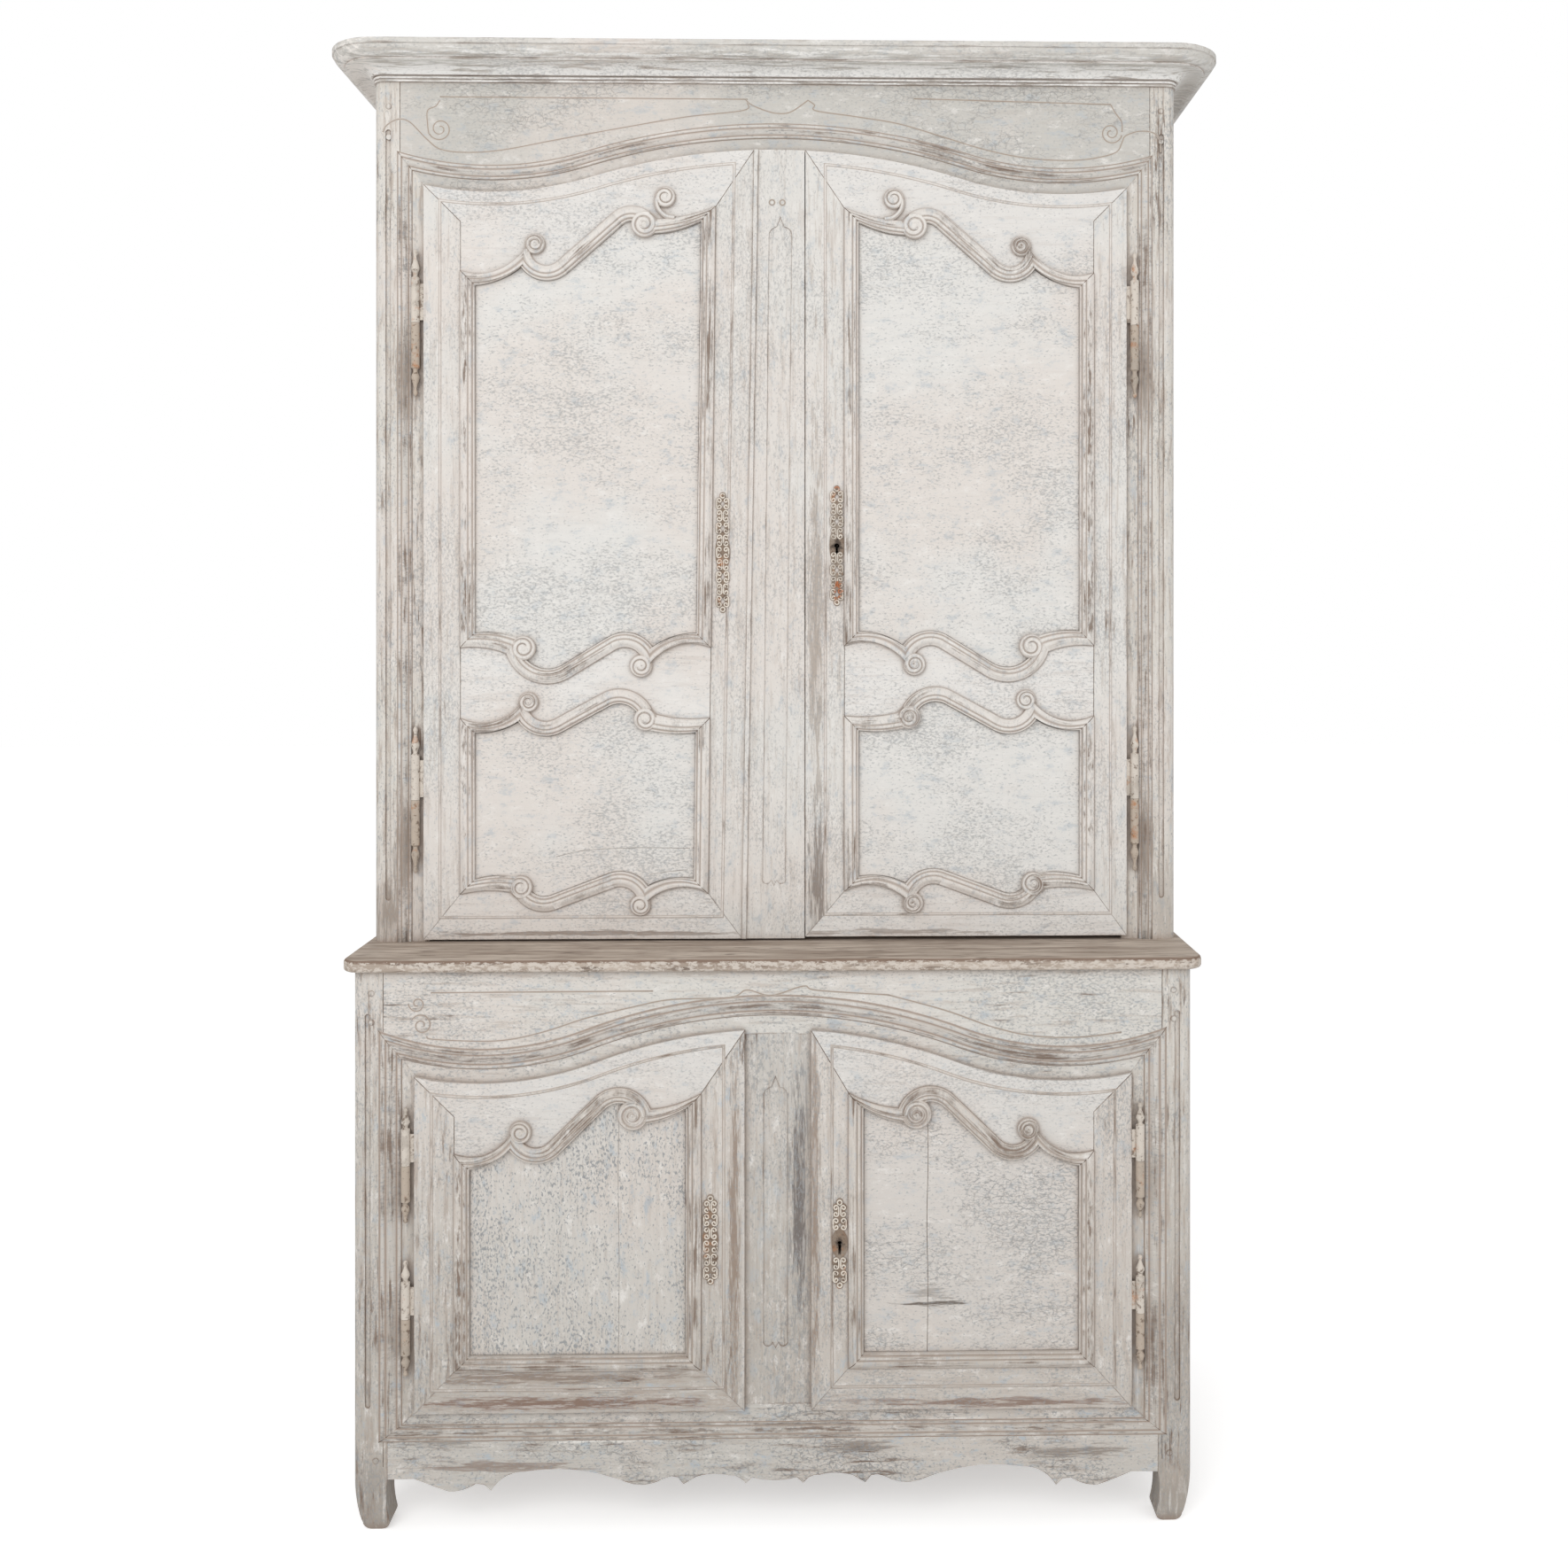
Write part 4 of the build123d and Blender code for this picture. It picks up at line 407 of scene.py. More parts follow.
# a single incised line: a dark valley between two burrs
CUT = np.array([
    (-1.7, -0.4, 0.3), (-1.6, 0.05, 0.1), (-1.1, 0.35, 0.2), (-0.55, 0.08, 1), (0.55, 0.08, 1),
    (1.1, 0.35, 0.2), (1.6, 0.05, 0.1), (1.7, -0.4, 0.3),
])
# the band that leads to a free scroll eye
STEM = np.array([
    (-4.0, -0.4, 1), (-3.9, 2.6, 1), (-3.0, 5.6, 0.3), (-1.6, 7.4, 0), (0.4, 7.6, 0), (1.8, 6.2, 0.5),
    (2.6, 5.6, 0.9), (3.4, 4.8, 0.3), (4.0, 2.6, 0.9), (4.1, -0.4, 1),
])
# a forged curl of the escutcheons
CURL = np.array([
    (-1.4, -0.4, 1), (-1.3, 0.5, 0.4), (-0.7, 1.2, 0), (0.7, 1.2, 0), (1.3, 0.5, 0.4), (1.4, -0.4, 1),
])
# an open joint: a thin dark line
JOINT = np.array([(-0.5, -0.3, 1), (-0.5, 0.06, 1), (0.5, 0.06, 1), (0.5, -0.3, 1)])


def rib_shell(leaf, pair):
    """Carved rib round one panel; where it runs under a scroll eye it sinks to a flat seat."""
    verts, faces, hollow, lay = relief(lambda o: leaf.loop(pair, o), RIB, leaf.face, True)
    height = leaf.face - verts[:, 1]
    for line in pair:
        for centre, radius, _ in line.eyes():
            away = np.hypot(verts[:, 0] - centre[0], verts[:, 2] - centre[1])
            keep = np.clip((away - radius + 2) / 2, 0, 1)
            height = np.where(height > EYE_SEAT, height * keep + EYE_SEAT * (1 - keep), height)
    verts[:, 1] = leaf.face - height
    return verts, faces, hollow, lay


def eye_shell(centre, radius, entry, face):
    """Scroll eye: a domed disc whose groove winds clockwise from the rim to the boss in 1.62 turns.

    Height = dome, less a bell-shaped groove round the spiral radius, less the rounded rim, plus the boss. The
    spiral's radius falls from 0.97 of the rim's by 0.42 each turn.
    """
    angle = np.radians(np.arange(0, 360, 5))
    share = np.concatenate([[1, 1], np.linspace(1, 0.04, 34)])
    r, a = np.meshgrid(share * radius, angle, indexing="ij")
    away = r / radius
    turned = np.mod(np.radians(entry) - a, 2 * np.pi) / (2 * np.pi)
    winding = np.stack([turned, turned + 1])
    valley = 0.97 - 0.42 * winding
    groove = (np.exp(-(((away - valley) / 0.062) ** 2)) * np.clip((1.62 - winding) / 0.1, 0, 1)).max(0)
    rim = np.clip((away - 0.88) / 0.12, 0, 1) ** 2
    boss = 1.4 * np.clip(1 - (away / 0.3) ** 2, 0, 1)
    height = 7.9 + 0.9 * (1 - away) - 2.9 * groove - 2.2 * rim + boss
    # the rim stands a little proud of the disc and goes down into the panel
    r[:2] += 0.35
    height[0] = -5.9
    height[1] = 5.7
    grid = np.stack([centre[0] + r * np.cos(a), face - height, centre[1] + r * np.sin(a)], -1)
    hollow = np.clip(1.2 * groove + 0.7 * rim, 0, 1)
    hollow[:2] = 0.9
    verts, faces = skin(grid)
    return verts, faces, hollow.ravel(), np.stack([a * radius / 2, r], -1).reshape(-1, 2)


# ================================================================ finishes
def colour(code):
    """sRGB hex code as linear red, green, blue and full alpha."""
    values = [int(code[i:i + 2], 16) / 255 for i in (1, 3, 5)]
    return tuple(v / 12.92 if v <= 0.04045 else ((v + 0.055) / 1.055) ** 2.4 for v in values) + (1.0,)


def add(tree, kind, inputs=None, **settings):
    """Adds a node with its settings; inputs gives its sockets' values or links, by name or number.

    A MapRange's sockets 1 and 2 are the values where its share starts and is full, 3 and 4 what it is there.
    """
    made = tree.nodes.new("ShaderNode" + kind)
    for key, value in settings.items():
        setattr(made, key, value)
    for key, value in (inputs or {}).items():
        if isinstance(value, bpy.types.NodeSocket):
            tree.links.new(value, made.inputs[key])
        else:
            made.inputs[key].default_value = value
    return made.outputs


def finish(name):
    """New node material and its tree, with the surface's shader still to come."""
    made = bpy.data.materials.new(name)
    made.use_nodes = True
    made.node_tree.nodes.clear()
    return made, made.node_tree


def layered(tree, ground, coats):
    """The ground's colour under its coats, each (colour, share) laid over the ones before."""
    base = colour(ground)
    for code, share in coats:
        base = add(tree, "Mix", {0: share, 6: base, 7: colour(code)}, data_type="RGBA")[2]
    return base


def surface(tree, base, roughness, height, relief_depth):
    """Matt principled surface with a bump, as the material's output."""
    bump = add(tree, "Bump", {"Strength": 0.7, "Distance": relief_depth, "Height": height})["Normal"]
    shader = add(tree, "BsdfPrincipled", {"Base Color": base, "Roughness": roughness, "Normal": bump,
                                          "Metallic": 0.0, "Specular IOR Level": 0.35})[0]
    add(tree, "OutputMaterial", {"Surface": shader})


def mark(face, x, z, wide, tall, code, share, deep=50):
    """Stain on a face: middle, half size in metres, colour and share, from places in millimetres."""
    return (x * MM, face * MM, z * MM), (wide * MM, deep * MM, tall * MM), code, share


def stain_coats(tree, place, ragged, stains):
    """Coat of each stain: full inside an ellipsoid, gone outside it, its edge torn by a ragged pattern.

    The pattern is 0.5 on average, so that five times it puts the edge about one half size from the middle.
    """
    coats = []
    for middle, half, code, most in stains:
        offset = add(tree, "VectorMath", {0: place, 1: middle}, operation="SUBTRACT")[0]
        part = add(tree, "VectorMath", {0: offset, 1: half}, operation="DIVIDE")[0]
        away = add(tree, "VectorMath", {0: part}, operation="LENGTH")["Value"]
        torn = add(tree, "Math", {0: ragged, 1: 5.0, 2: away}, operation="MULTIPLY_ADD")[0]
        share = add(tree, "MapRange", {0: torn, 1: 3.6, 2: 2.9, 4: most}, interpolation_type="SMOOTHSTEP")[0]
        coats.append((code, share))
    return coats


# how a pattern is drawn out along the grain of an upright or a level board
GRAIN = {"upright": (1, 1, 0.09), "level": (0.09, 1, 1)}


def limewash(name, grain, ground, wear, dust, shade=0.0, blue=0.55, crazed=0.25, flecked=0.6,
             carved=False, grime_and_shade=0.62, stains=()):
    """Old limewash on oak: chalky and matt, mottled blue-grey where an older coat shows through, flecked,
    finely crazed, rubbed to brown wood along the grain and at arrises, with pinkish-tan painted shade and
    dirt in the hollows.

    wear, dust, blue, crazed, flecked and grime_and_shade are shares of the surface; shade greys the
    whole coat; a carved piece carries its hollows and the lay of its grain in attributes; stains are
    marks on its face.
    Pattern sizes: clouds 300 mm, patches 110 mm, mottling 22 mm, grain streaks 6 mm across, flecks 3 mm, and
    crazing 11 mm, which is coarser than real so that it shows.
    """
    made, tree = finish(name)
    eased = {"interpolation_type": "SMOOTHSTEP"}
    place = add(tree, "TexCoord")["Object"]
    slight = add(tree, "Mapping", {"Vector": place, "Scale": [0.5 + 0.5 * s for s in GRAIN[grain]]})[0]
    along = add(tree, "Mapping", {"Vector": place, "Scale": GRAIN[grain]})[0]
    if carved:
        lay = add(tree, "Attribute", attribute_name="lay")["Vector"]
        along = add(tree, "Mapping", {"Vector": lay, "Scale": GRAIN["level"]})[0]
    clouds = add(tree, "TexNoise", {"Vector": place, "Scale": 3.3, "Detail": 4.0})[0]
    mottle = add(tree, "TexNoise", {"Vector": slight, "Scale": 46.0, "Detail": 9.0, "Roughness": 0.75})[0]
    flecks = add(tree, "TexNoise", {"Vector": slight, "Scale": 300.0, "Detail": 3.0, "Roughness": 0.6})[0]
    streak = add(tree, "TexNoise", {"Vector": along, "Scale": 160.0, "Detail": 6.0, "Roughness": 0.65})[0]
    patch = add(tree, "TexNoise", {"Vector": slight, "Scale": 9.0, "Detail": 7.0, "Roughness": 0.7})[0]
    warp = add(tree, "TexNoise", {"Vector": place, "Scale": 60.0, "Detail": 3.0})["Color"]
    bent = add(tree, "VectorMath", {0: warp, 1: (0.016,) * 3, 2: slight}, operation="MULTIPLY_ADD")[0]
    crack = add(tree, "TexVoronoi", {"Vector": bent, "Scale": 90.0}, feature="DISTANCE_TO_EDGE")[0]
    level = add(tree, "SeparateXYZ", {0: place})["Z"]
    dense = add(tree, "Math", {0: patch, 1: 0.5, 2: flecks}, operation="MULTIPLY_ADD")[0]
    if carved:
        hollow = add(tree, "Attribute", attribute_name="hollow")["Fac"]
        arris = add(tree, "Math", {0: 1.0, 1: hollow}, operation="SUBTRACT")[0]
    else:
        # the AO map finds the hollows, which the finish darkens with painted shade and dirt
        open_sky = add(tree, "AmbientOcclusion", {"Distance": 0.02}, samples=6)["AO"]
        hollow = add(tree, "MapRange", {0: open_sky, 1: 0.93, 2: 0.45}, **eased)[0]
        rounded = add(tree, "Bevel", {"Radius": 0.0035}, samples=4)[0]
        true = add(tree, "NewGeometry")["Normal"]
        match = add(tree, "VectorMath", {0: rounded, 1: true}, operation="DOT_PRODUCT")["Value"]
        arris = add(tree, "MapRange", {0: match, 1: 0.995, 2: 0.86}, **eased)[0]
    knock = add(tree, "Math", {0: arris, 1: streak}, operation="MULTIPLY")[0]
    knock = add(tree, "Math", {0: knock, 1: patch}, operation="MULTIPLY")[0]
    ramps = {  # share: (value, where it starts, where it is full, how much it is then)
        "pale pink": (clouds, 0.45, 0.62, 0.7),
        "older coat": (mottle, 0.52, 0.66, blue),
        "chalk": (mottle, 0.47, 0.32, 0.7),
        "fleck": (dense, 0.77, 0.9, flecked),
        "low": (level, 1.1, 0.1, 0.25 + dust),
        "dust": (streak, 0.5, 0.66, dust),
        "lime line": (streak, 0.46, 0.34, 0.9 * dust),
        "net": (crack, 0.06, 0.0, crazed),
        "crazed": (patch, 0.42, 0.6, 1.0),
        "rubbed": (streak, 0.66 - 0.2 * wear, 0.76 - 0.16 * wear, 1.0),
        "bare": (patch, 0.64 - 0.3 * wear, 0.78 - 0.24 * wear, 1.0),
        "knocked": (knock, 0.25 - 0.1 * wear, 0.38 - 0.1 * wear, 0.9),
        "pore": (streak, 0.62, 0.8, 0.7),
    }
    share = {key: add(tree, "MapRange", {0: value, 1: start, 2: full, 4: most}, **eased)[0]
             for key, (value, start, full, most) in ramps.items()}
    crazing = add(tree, "Math", {0: share["net"], 1: share["crazed"]}, operation="MULTIPLY")[0]
    rubbed = add(tree, "Math", {0: share["rubbed"], 1: share["bare"]}, operation="MULTIPLY")[0]
    worn = add(tree, "Math", {0: share["knocked"], 1: rubbed}, operation="MAXIMUM")[0]
    pores = add(tree, "Math", {0: share["pore"], 1: worn}, operation="MULTIPLY")[0]
    # painted shade and dirt: pinkish tan, as deep as the hollows
    dirt_and_shade = add(tree, "Math", {0: hollow, 1: grime_and_shade}, operation="MULTIPLY")[0]
    base = layered(tree, ground, [
        ("#dcd4cd", share["pale pink"]),
        ("#b6afa6", share["low"]),
        ("#968f88", shade),
        ("#b3bbc1", share["older coat"]),
        ("#e9e6e2", share["chalk"]),
        ("#ac9d91", share["dust"]),
        *stain_coats(tree, place, streak, stains),
        ("#dfdbd6", share["lime line"]),
        ("#989a9b", share["fleck"]),
        ("#8f8b87", crazing),
        ("#9a8779", dirt_and_shade),
        ("#7d6a5c", worn),
        ("#5e4e43", pores),
    ])
    rough = add(tree, "MapRange", {0: worn, 3: 0.88, 4: 0.62})[0]
    raised = add(tree, "Math", {0: mottle, 1: 0.5, 2: crazing}, operation="MULTIPLY_ADD")[0]
    bumps = add(tree, "Math", {0: flecks, 1: 0.35, 2: raised}, operation="MULTIPLY_ADD")[0]
    height = add(tree, "Math", {0: worn, 1: -0.8, 2: bumps}, operation="MULTIPLY_ADD")[0]
    surface(tree, base, rough, height, 0.0012)
    return made


def bare_board(name, light, dark, pore, grain="level", limed=0.0, board=0.0):
    """Dry unfinished oak: two tones of grain drawn out along the board, dark open pores, no gloss.

    limed is the share of its upright faces that old limewash still covers, in flakes. board, if not zero,
    is the width in metres of its upright boards, parted by dark seams; one board's middle is at X 0.
    Pattern sizes: grain 17 mm and pores 4 mm across, water stains 90 mm, flakes of lime 6 mm.
    """
    made, tree = finish(name)
    place = add(tree, "TexCoord")["Object"]
    along = add(tree, "Mapping", {"Vector": place, "Scale": GRAIN[grain]})[0]
    bands = add(tree, "TexNoise", {"Vector": along, "Scale": 60.0, "Detail": 8.0, "Distortion": 0.6})[0]
    pores = add(tree, "TexNoise", {"Vector": along, "Scale": 240.0, "Detail": 3.0})[0]
    stains = add(tree, "TexNoise", {"Vector": place, "Scale": 11.0, "Detail": 5.0})[0]
    drawn = add(tree, "Mapping", {"Vector": place, "Scale": (0.45, 1, 1)})[0]
    chips = add(tree, "TexNoise", {"Vector": drawn, "Scale": 170.0, "Detail": 8.0, "Roughness": 0.75})[0]
    facing = add(tree, "SeparateXYZ", {0: add(tree, "NewGeometry")["True Normal"]})["Z"]
    upright = add(tree, "MapRange", {0: facing, 1: 0.75, 2: 0.45, 4: 0.2})[0]
    kept = add(tree, "Math", {0: chips, 1: upright}, operation="ADD")[0]
    rising = add(tree, "MapRange", {0: facing, 1: 0.1, 2: 0.4})[0]
    easing = add(tree, "MapRange", {0: facing, 1: 0.98, 2: 0.8, 4: limed})[0]
    arris = add(tree, "Math", {0: rising, 1: easing}, operation="MULTIPLY")[0]
    coats = [
        (dark, add(tree, "MapRange", {0: bands, 1: 0.62, 2: 0.38})[0]),
        (dark, add(tree, "MapRange", {0: stains, 1: 0.45, 2: 0.7, 4: 0.5})[0]),
        (pore, add(tree, "MapRange", {0: pores, 1: 0.56, 2: 0.68, 4: 0.75})[0]),
        ("#7a6455", arris),
        ("#d2c9bf", add(tree, "MapRange", {0: kept, 1: 0.69, 2: 0.72, 4: limed})[0]),
    ]
    if board:
        half = board / 2
        across = add(tree, "SeparateXYZ", {0: place})["X"]
        off = add(tree, "Math", {0: across, 1: half}, operation="PINGPONG")[0]
        seam = add(tree, "MapRange", {0: off, 1: half - 0.0018, 2: half - 0.0008, 4: 0.9})[0]
        coats.append(("#3b2e24", seam))
    height = add(tree, "Math", {0: bands, 1: pores}, operation="SUBTRACT")[0]
    surface(tree, layered(tree, light, coats), 0.8, height, 0.0008)
    return made


def painted_iron(name, rust, paint="#d3cabf", stains=()):
    """Forged iron under flaking limewash: cream paint, brown scale where it flakes, orange rust, low sheen.

    Pattern sizes: flakes 8 mm, rust spots 26 mm, bare patches 60 mm.
    """
    made, tree = finish(name)
    place = add(tree, "TexCoord")["Object"]
    flakes = add(tree, "TexNoise", {"Vector": place, "Scale": 120.0, "Detail": 7.0, "Roughness": 0.7})[0]
    spots = add(tree, "TexNoise", {"Vector": place, "Scale": 38.0, "Detail": 5.0, "Roughness": 0.65})[0]
    patches = add(tree, "TexNoise", {"Vector": place, "Scale": 17.0, "Detail": 6.0, "Roughness": 0.7})[0]
    carved = add(tree, "Attribute", attribute_name="hollow")["Fac"]
    # AO finds the nooks; with the carved hollows they get brown painted shade and dirt
    open_sky = add(tree, "AmbientOcclusion", {"Distance": 0.008}, samples=6)["AO"]
    nook = add(tree, "MapRange", {0: open_sky, 1: 0.85, 2: 0.4})[0]
    hollow = add(tree, "Math", {0: carved, 1: nook}, operation="MAXIMUM")[0]
    lifted = add(tree, "Math", {0: hollow, 1: 0.12, 2: flakes}, operation="MULTIPLY_ADD")[0]
    scale = {0: lifted, 1: 0.62 - 0.12 * rust, 2: 0.68 - 0.1 * rust, 4: 0.8}
    orange = {0: spots, 1: 0.66 - 0.16 * rust, 2: 0.78 - 0.16 * rust, 4: 0.7}
    base = layered(tree, paint, [
        ("#a39a8f", add(tree, "MapRange", {0: patches, 1: 0.5, 2: 0.6, 4: rust})[0]),
        ("#94806c", add(tree, "MapRange", {0: hollow, 4: 0.75})[0]),
        ("#6b5849", add(tree, "MapRange", scale)[0]),
        ("#b3733f", add(tree, "MapRange", orange)[0]),
        *stain_coats(tree, place, flakes, stains),
    ])
    surface(tree, base, 0.72, lifted, 0.0008)
    return made


def dirt_and_shade_fill(name, code, ground):
    """Old dirt packed in an open joint, and painted shade with dirt in an open gap: dead matt, broken by
    crumbs 14 mm apart in a paler tone.
    """
    made, tree = finish(name)
    place = add(tree, "TexCoord")["Object"]
    crumbs = add(tree, "TexNoise", {"Vector": place, "Scale": 70.0, "Detail": 6.0, "Roughness": 0.7})[0]
    share = add(tree, "MapRange", {0: crumbs, 1: 0.45, 2: 0.68})[0]
    surface(tree, layered(tree, code, [(ground, share)]), 0.9, crumbs, 0.0004)
    return made


# limewash brushed smooth on wide boards: the palest and most even of all, with scattered grey flecks
PANEL_COAT = limewash(
    "limewash_on_panel_boards", "level", "#dedcd8", wear=0.05, dust=0.08, flecked=0.5, grime_and_shade=0.25)
# the same where rain ran down it: greyer, with long upright flecks of the older blue coat
LOW_PANEL_COAT = limewash(
    "limewash_streaked_on_low_panel", "upright", "#d9d6d1", wear=0.15, dust=0.25, blue=0.9, flecked=0.95,
    grime_and_shade=0.3)
# the same with a brown scorch mark, dark and thin below and pale above
PANEL_FRONT = PANEL_FACE - 1
MARKED_PANEL_COAT = limewash(
    "limewash_scorched_on_low_panel", "level", "#dad5d0", wear=0.05, dust=0.1, crazed=0.5, grime_and_shade=0.4, stains=[
        mark(PANEL_FRONT, 257, 362, 55, 5.5, "#54483d", 0.85, deep=12),
        mark(PANEL_FRONT, 250, 378, 35, 14, "#8b8178", 0.5, deep=12)])
# limewash on narrow upright boards: fine brown lines along the grain
STILE_COAT = limewash("limewash_on_stiles", "upright", "#dad7d2", wear=0.2, dust=0.3, flecked=0.4)
# the same, brown and greasy down the edge that hands pull at, with a rusty corner at its foot
KEY_STILE_COAT = limewash(
    "limewash_handled_by_the_key", "upright", "#dcd9d4", wear=0.3, dust=0.4, flecked=0.4, stains=[
        mark(UPPER_FACE, 68, 1490, 14, 300, "#8d7b6b", 0.6),
        mark(UPPER_FACE, 68, 1020, 18, 120, "#75675d", 0.8),
        mark(UPPER_FACE, 104, 946, 12, 12, "#8a5f45", 0.9)])
# limewash rubbed half away: as much brown wood as white, darkest down the meeting edge
LOW_STILE_COAT = limewash(
    "limewash_rubbed_on_low_stiles", "upright", "#dad5cf", wear=0.65, dust=0.6, blue=0.9,
    stains=[mark(LOWER_FACE, -66, 480, 10, 300, "#86705f", 0.75)])
# the same on the sounder right-hand door: creamier, with less wood showing
PALE_STILE_COAT = limewash(
    "limewash_rubbed_on_pale_low_stiles", "upright", "#d8d1ca", wear=0.35, dust=0.4, blue=0.7,
    stains=[mark(LOWER_FACE, 66, 500, 9, 300, "#86705f", 0.75)])
# limewash on short level boards: near white, lightly speckled
RAIL_COAT = limewash("limewash_on_door_rails", "level", "#dedbd7", wear=0.15, dust=0.15, flecked=0.45)
# the same with its lowest edge scuffed brown
DOOR_FOOT_COAT = limewash(
    "limewash_scuffed_at_the_ledge", "level", "#e2dfdb", wear=0.2, dust=0.2, flecked=0.45, stains=[
        mark(UPPER_FACE, -360, 944, 300, 4.5, "#7d6a5c", 0.75),
        mark(UPPER_FACE, 200, 943, 140, 6, "#7d6a5c", 0.6)])
# old oil and rust that ran down beside the hinges' lower halves
HINGES = [(UPPER_FACE, 636, 1090, 85, 0.65), (UPPER_FACE, 636, 1895, 85, 0.6),
          (LOWER_FACE, 620, 310, 55, 0.3), (LOWER_FACE, 620, 555, 55, 0.3)]
HINGE_DIRT = [mark(face, side * x, z, 20, tall, "#7a6757", share)
              for side in (-1, 1) for face, x, z, tall, share in HINGES]
# limewash on the posts: long brown and blue-grey streaks, dirty by the hinges, at the ledge and on the feet
POST_COAT = limewash(
    "limewash_rubbed_on_posts", "upright", "#d9d4cc", wear=0.62, dust=0.6, shade=0.08, blue=0.65, stains=[
        *HINGE_DIRT,
        mark(UPPER_FACE, -665, 980, 35, 70, "#86776a", 0.7),
        mark(UPPER_FACE, 670, 990, 30, 80, "#86776a", 0.3),
        mark(LOWER_FACE, 660, 310, 25, 130, "#7a6a5e", 0.3),
        mark(LOWER_FACE, -655, 40, 60, 90, "#8a7f75", 0.4, deep=100),
        mark(LOWER_FACE, 655, 40, 60, 90, "#8a7f75", 0.4, deep=100)])
# limewash between the low doors: grey with soot, nearly black down one side
CENTRE_COAT = limewash(
    "limewash_sooty_on_centre_stile", "upright", "#d0ccc6", wear=0.45, dust=0.5, shade=0.1,
    stains=[mark(LOWER_FACE, 40, 530, 16, 200, "#5b524f", 0.8)])
# limewash on the frieze: a flat grey-green, hardly worn, its skin crazed all over, with painted shade greying
# its left half
FRIEZE_COAT = limewash(
    "limewash_crazed_on_frieze", "level", "#c6c3bd", wear=0.1, dust=0.15, blue=0.6, crazed=0.5, flecked=0.45,
    # painted shade over the left half, which the key light falls on most
    stains=[mark(UPPER_FACE, -420, 2330, 320, 120, "#a6a39b", 0.15)])
# limewash on the cornice: level streaks; a painted highlight along the cove and under the left end, which
# face down into shade; brown at the right end
CORNICE_COAT = limewash(
    "limewash_on_cornice", "level", "#d0cdc7", wear=0.3, dust=0.35, flecked=0.3, stains=[
        # painted highlight: along the downward-facing cove, then on the left end's underside
        mark(-200, 0, 2415.5, 2000, 16, "#f8f7f4", 1.0, deep=1000),
        mark(0, -715, 2420, 60, 40, "#f6efe8", 0.8, deep=250),
        mark(0, 715, 2420, 45, 25, "#8a7a69", 0.4, deep=190)])
# limewash under the ledge: drips and rubbing show blue and brown in level streaks
LOW_RAIL_COAT = limewash("limewash_rubbed_on_low_rail", "level", "#d8d5cf", wear=0.4, dust=0.4, blue=0.8)
# limewash kicked away: long brown scars along the board
FOOT_RAIL_COAT = limewash(
    "limewash_worn_on_foot_rails", "level", "#d2cdc7", wear=0.6, dust=0.6, blue=0.9, stains=[
        mark(LOWER_FACE, -360, 205, 320, 11, "#7d6253", 0.85),
        mark(LOWER_FACE, -370, 246, 260, 12, "#857467", 0.8)])
# the same on the sounder right-hand door: one scar, along the foot
PALE_FOOT_COAT = limewash(
    "limewash_worn_on_pale_foot_rail", "level", "#d6cfc8", wear=0.35, dust=0.35, blue=0.7,
    stains=[mark(LOWER_FACE, 350, 200, 250, 8, "#7d6253", 0.8)])
# limewash on the apron: weathered through several coats, in patches of white, blue-grey and brown
APRON_COAT = limewash(
    "limewash_weathered_on_apron", "level", "#d3d1cc", wear=0.62, dust=0.25, blue=1.0, crazed=0.7,
    flecked=0.8, stains=[
        mark(LOWER_FACE, -450, 103, 140, 9, "#806a5c", 0.7),
        mark(LOWER_FACE, -540, 150, 70, 20, "#7d7268", 0.6),
        mark(LOWER_FACE, -250, 152, 200, 10, "#efece6", 0.8),
        mark(LOWER_FACE, 80, 160, 130, 8, "#65574c", 0.75),
        mark(LOWER_FACE, 140, 128, 60, 12, "#75665a", 0.7),
        mark(LOWER_FACE, 320, 165, 200, 5, "#efece6", 0.8),
        mark(LOWER_FACE, 480, 118, 100, 12, "#75685d", 0.7)])
# limewash on carved ribs: creamy on the rounds, pinkish-tan painted shade and dirt in the quirks
CARVED_COAT = limewash(
    "limewash_on_carving", "upright", "#e0dbd5", wear=0.05, dust=0.2, flecked=0.3, carved=True)
# the same within reach of knees and brooms: yellower, brown wood along the ridge
LOW_CARVED_COAT = limewash(
    "limewash_rubbed_on_low_carving", "upright", "#dbd4cc", wear=0.3, dust=0.4, flecked=0.3, carved=True)
# limewash with painted shade and dirt in fine cut lines, which reads as a brown pencil line
INCISED_COAT = limewash(
    "limewash_in_incised_lines", "level", "#cbc7be", wear=0.0, dust=0.2, flecked=0.2, carved=True, grime_and_shade=0.8)
# limewash on the portal mouldings: pale on the rounds, much painted shade, dirt and blue-grey in the hollows
# between
MOULD_COAT = limewash(
    "limewash_on_mouldings", "level", "#d2cec8", wear=0.35, dust=0.35, blue=0.9, carved=True, grime_and_shade=0.85,
    stains=HINGE_DIRT)
# oak scrubbed bare: grey-brown, open-pored, with lime left on its nosing
LEDGE_WOOD = bare_board("bare_oak_ledge", "#c3b6a9", "#9d8e81", "#65574d", limed=0.85)
# oak never painted and kept from light: a warmer brown
INNER_TONES = ("#a58d74", "#86705a", "#5e4b3b")
SHELF_WOOD = bare_board("dry_shelf_boards", *INNER_TONES)
# forged iron painted over with the door: cream, a little brown at edges
PALE_IRON = painted_iron("iron_under_paint", 0.55)
# forged iron rubbed at each opening: darker, rust spots
PIN_IRON = painted_iron("iron_pins_rusting", 0.6, "#b9ab9c")
# forged iron curls thick with lime: the palest metal here
CURL_IRON = painted_iron("iron_curls_limewashed", 0.5, "#e2d9cd")
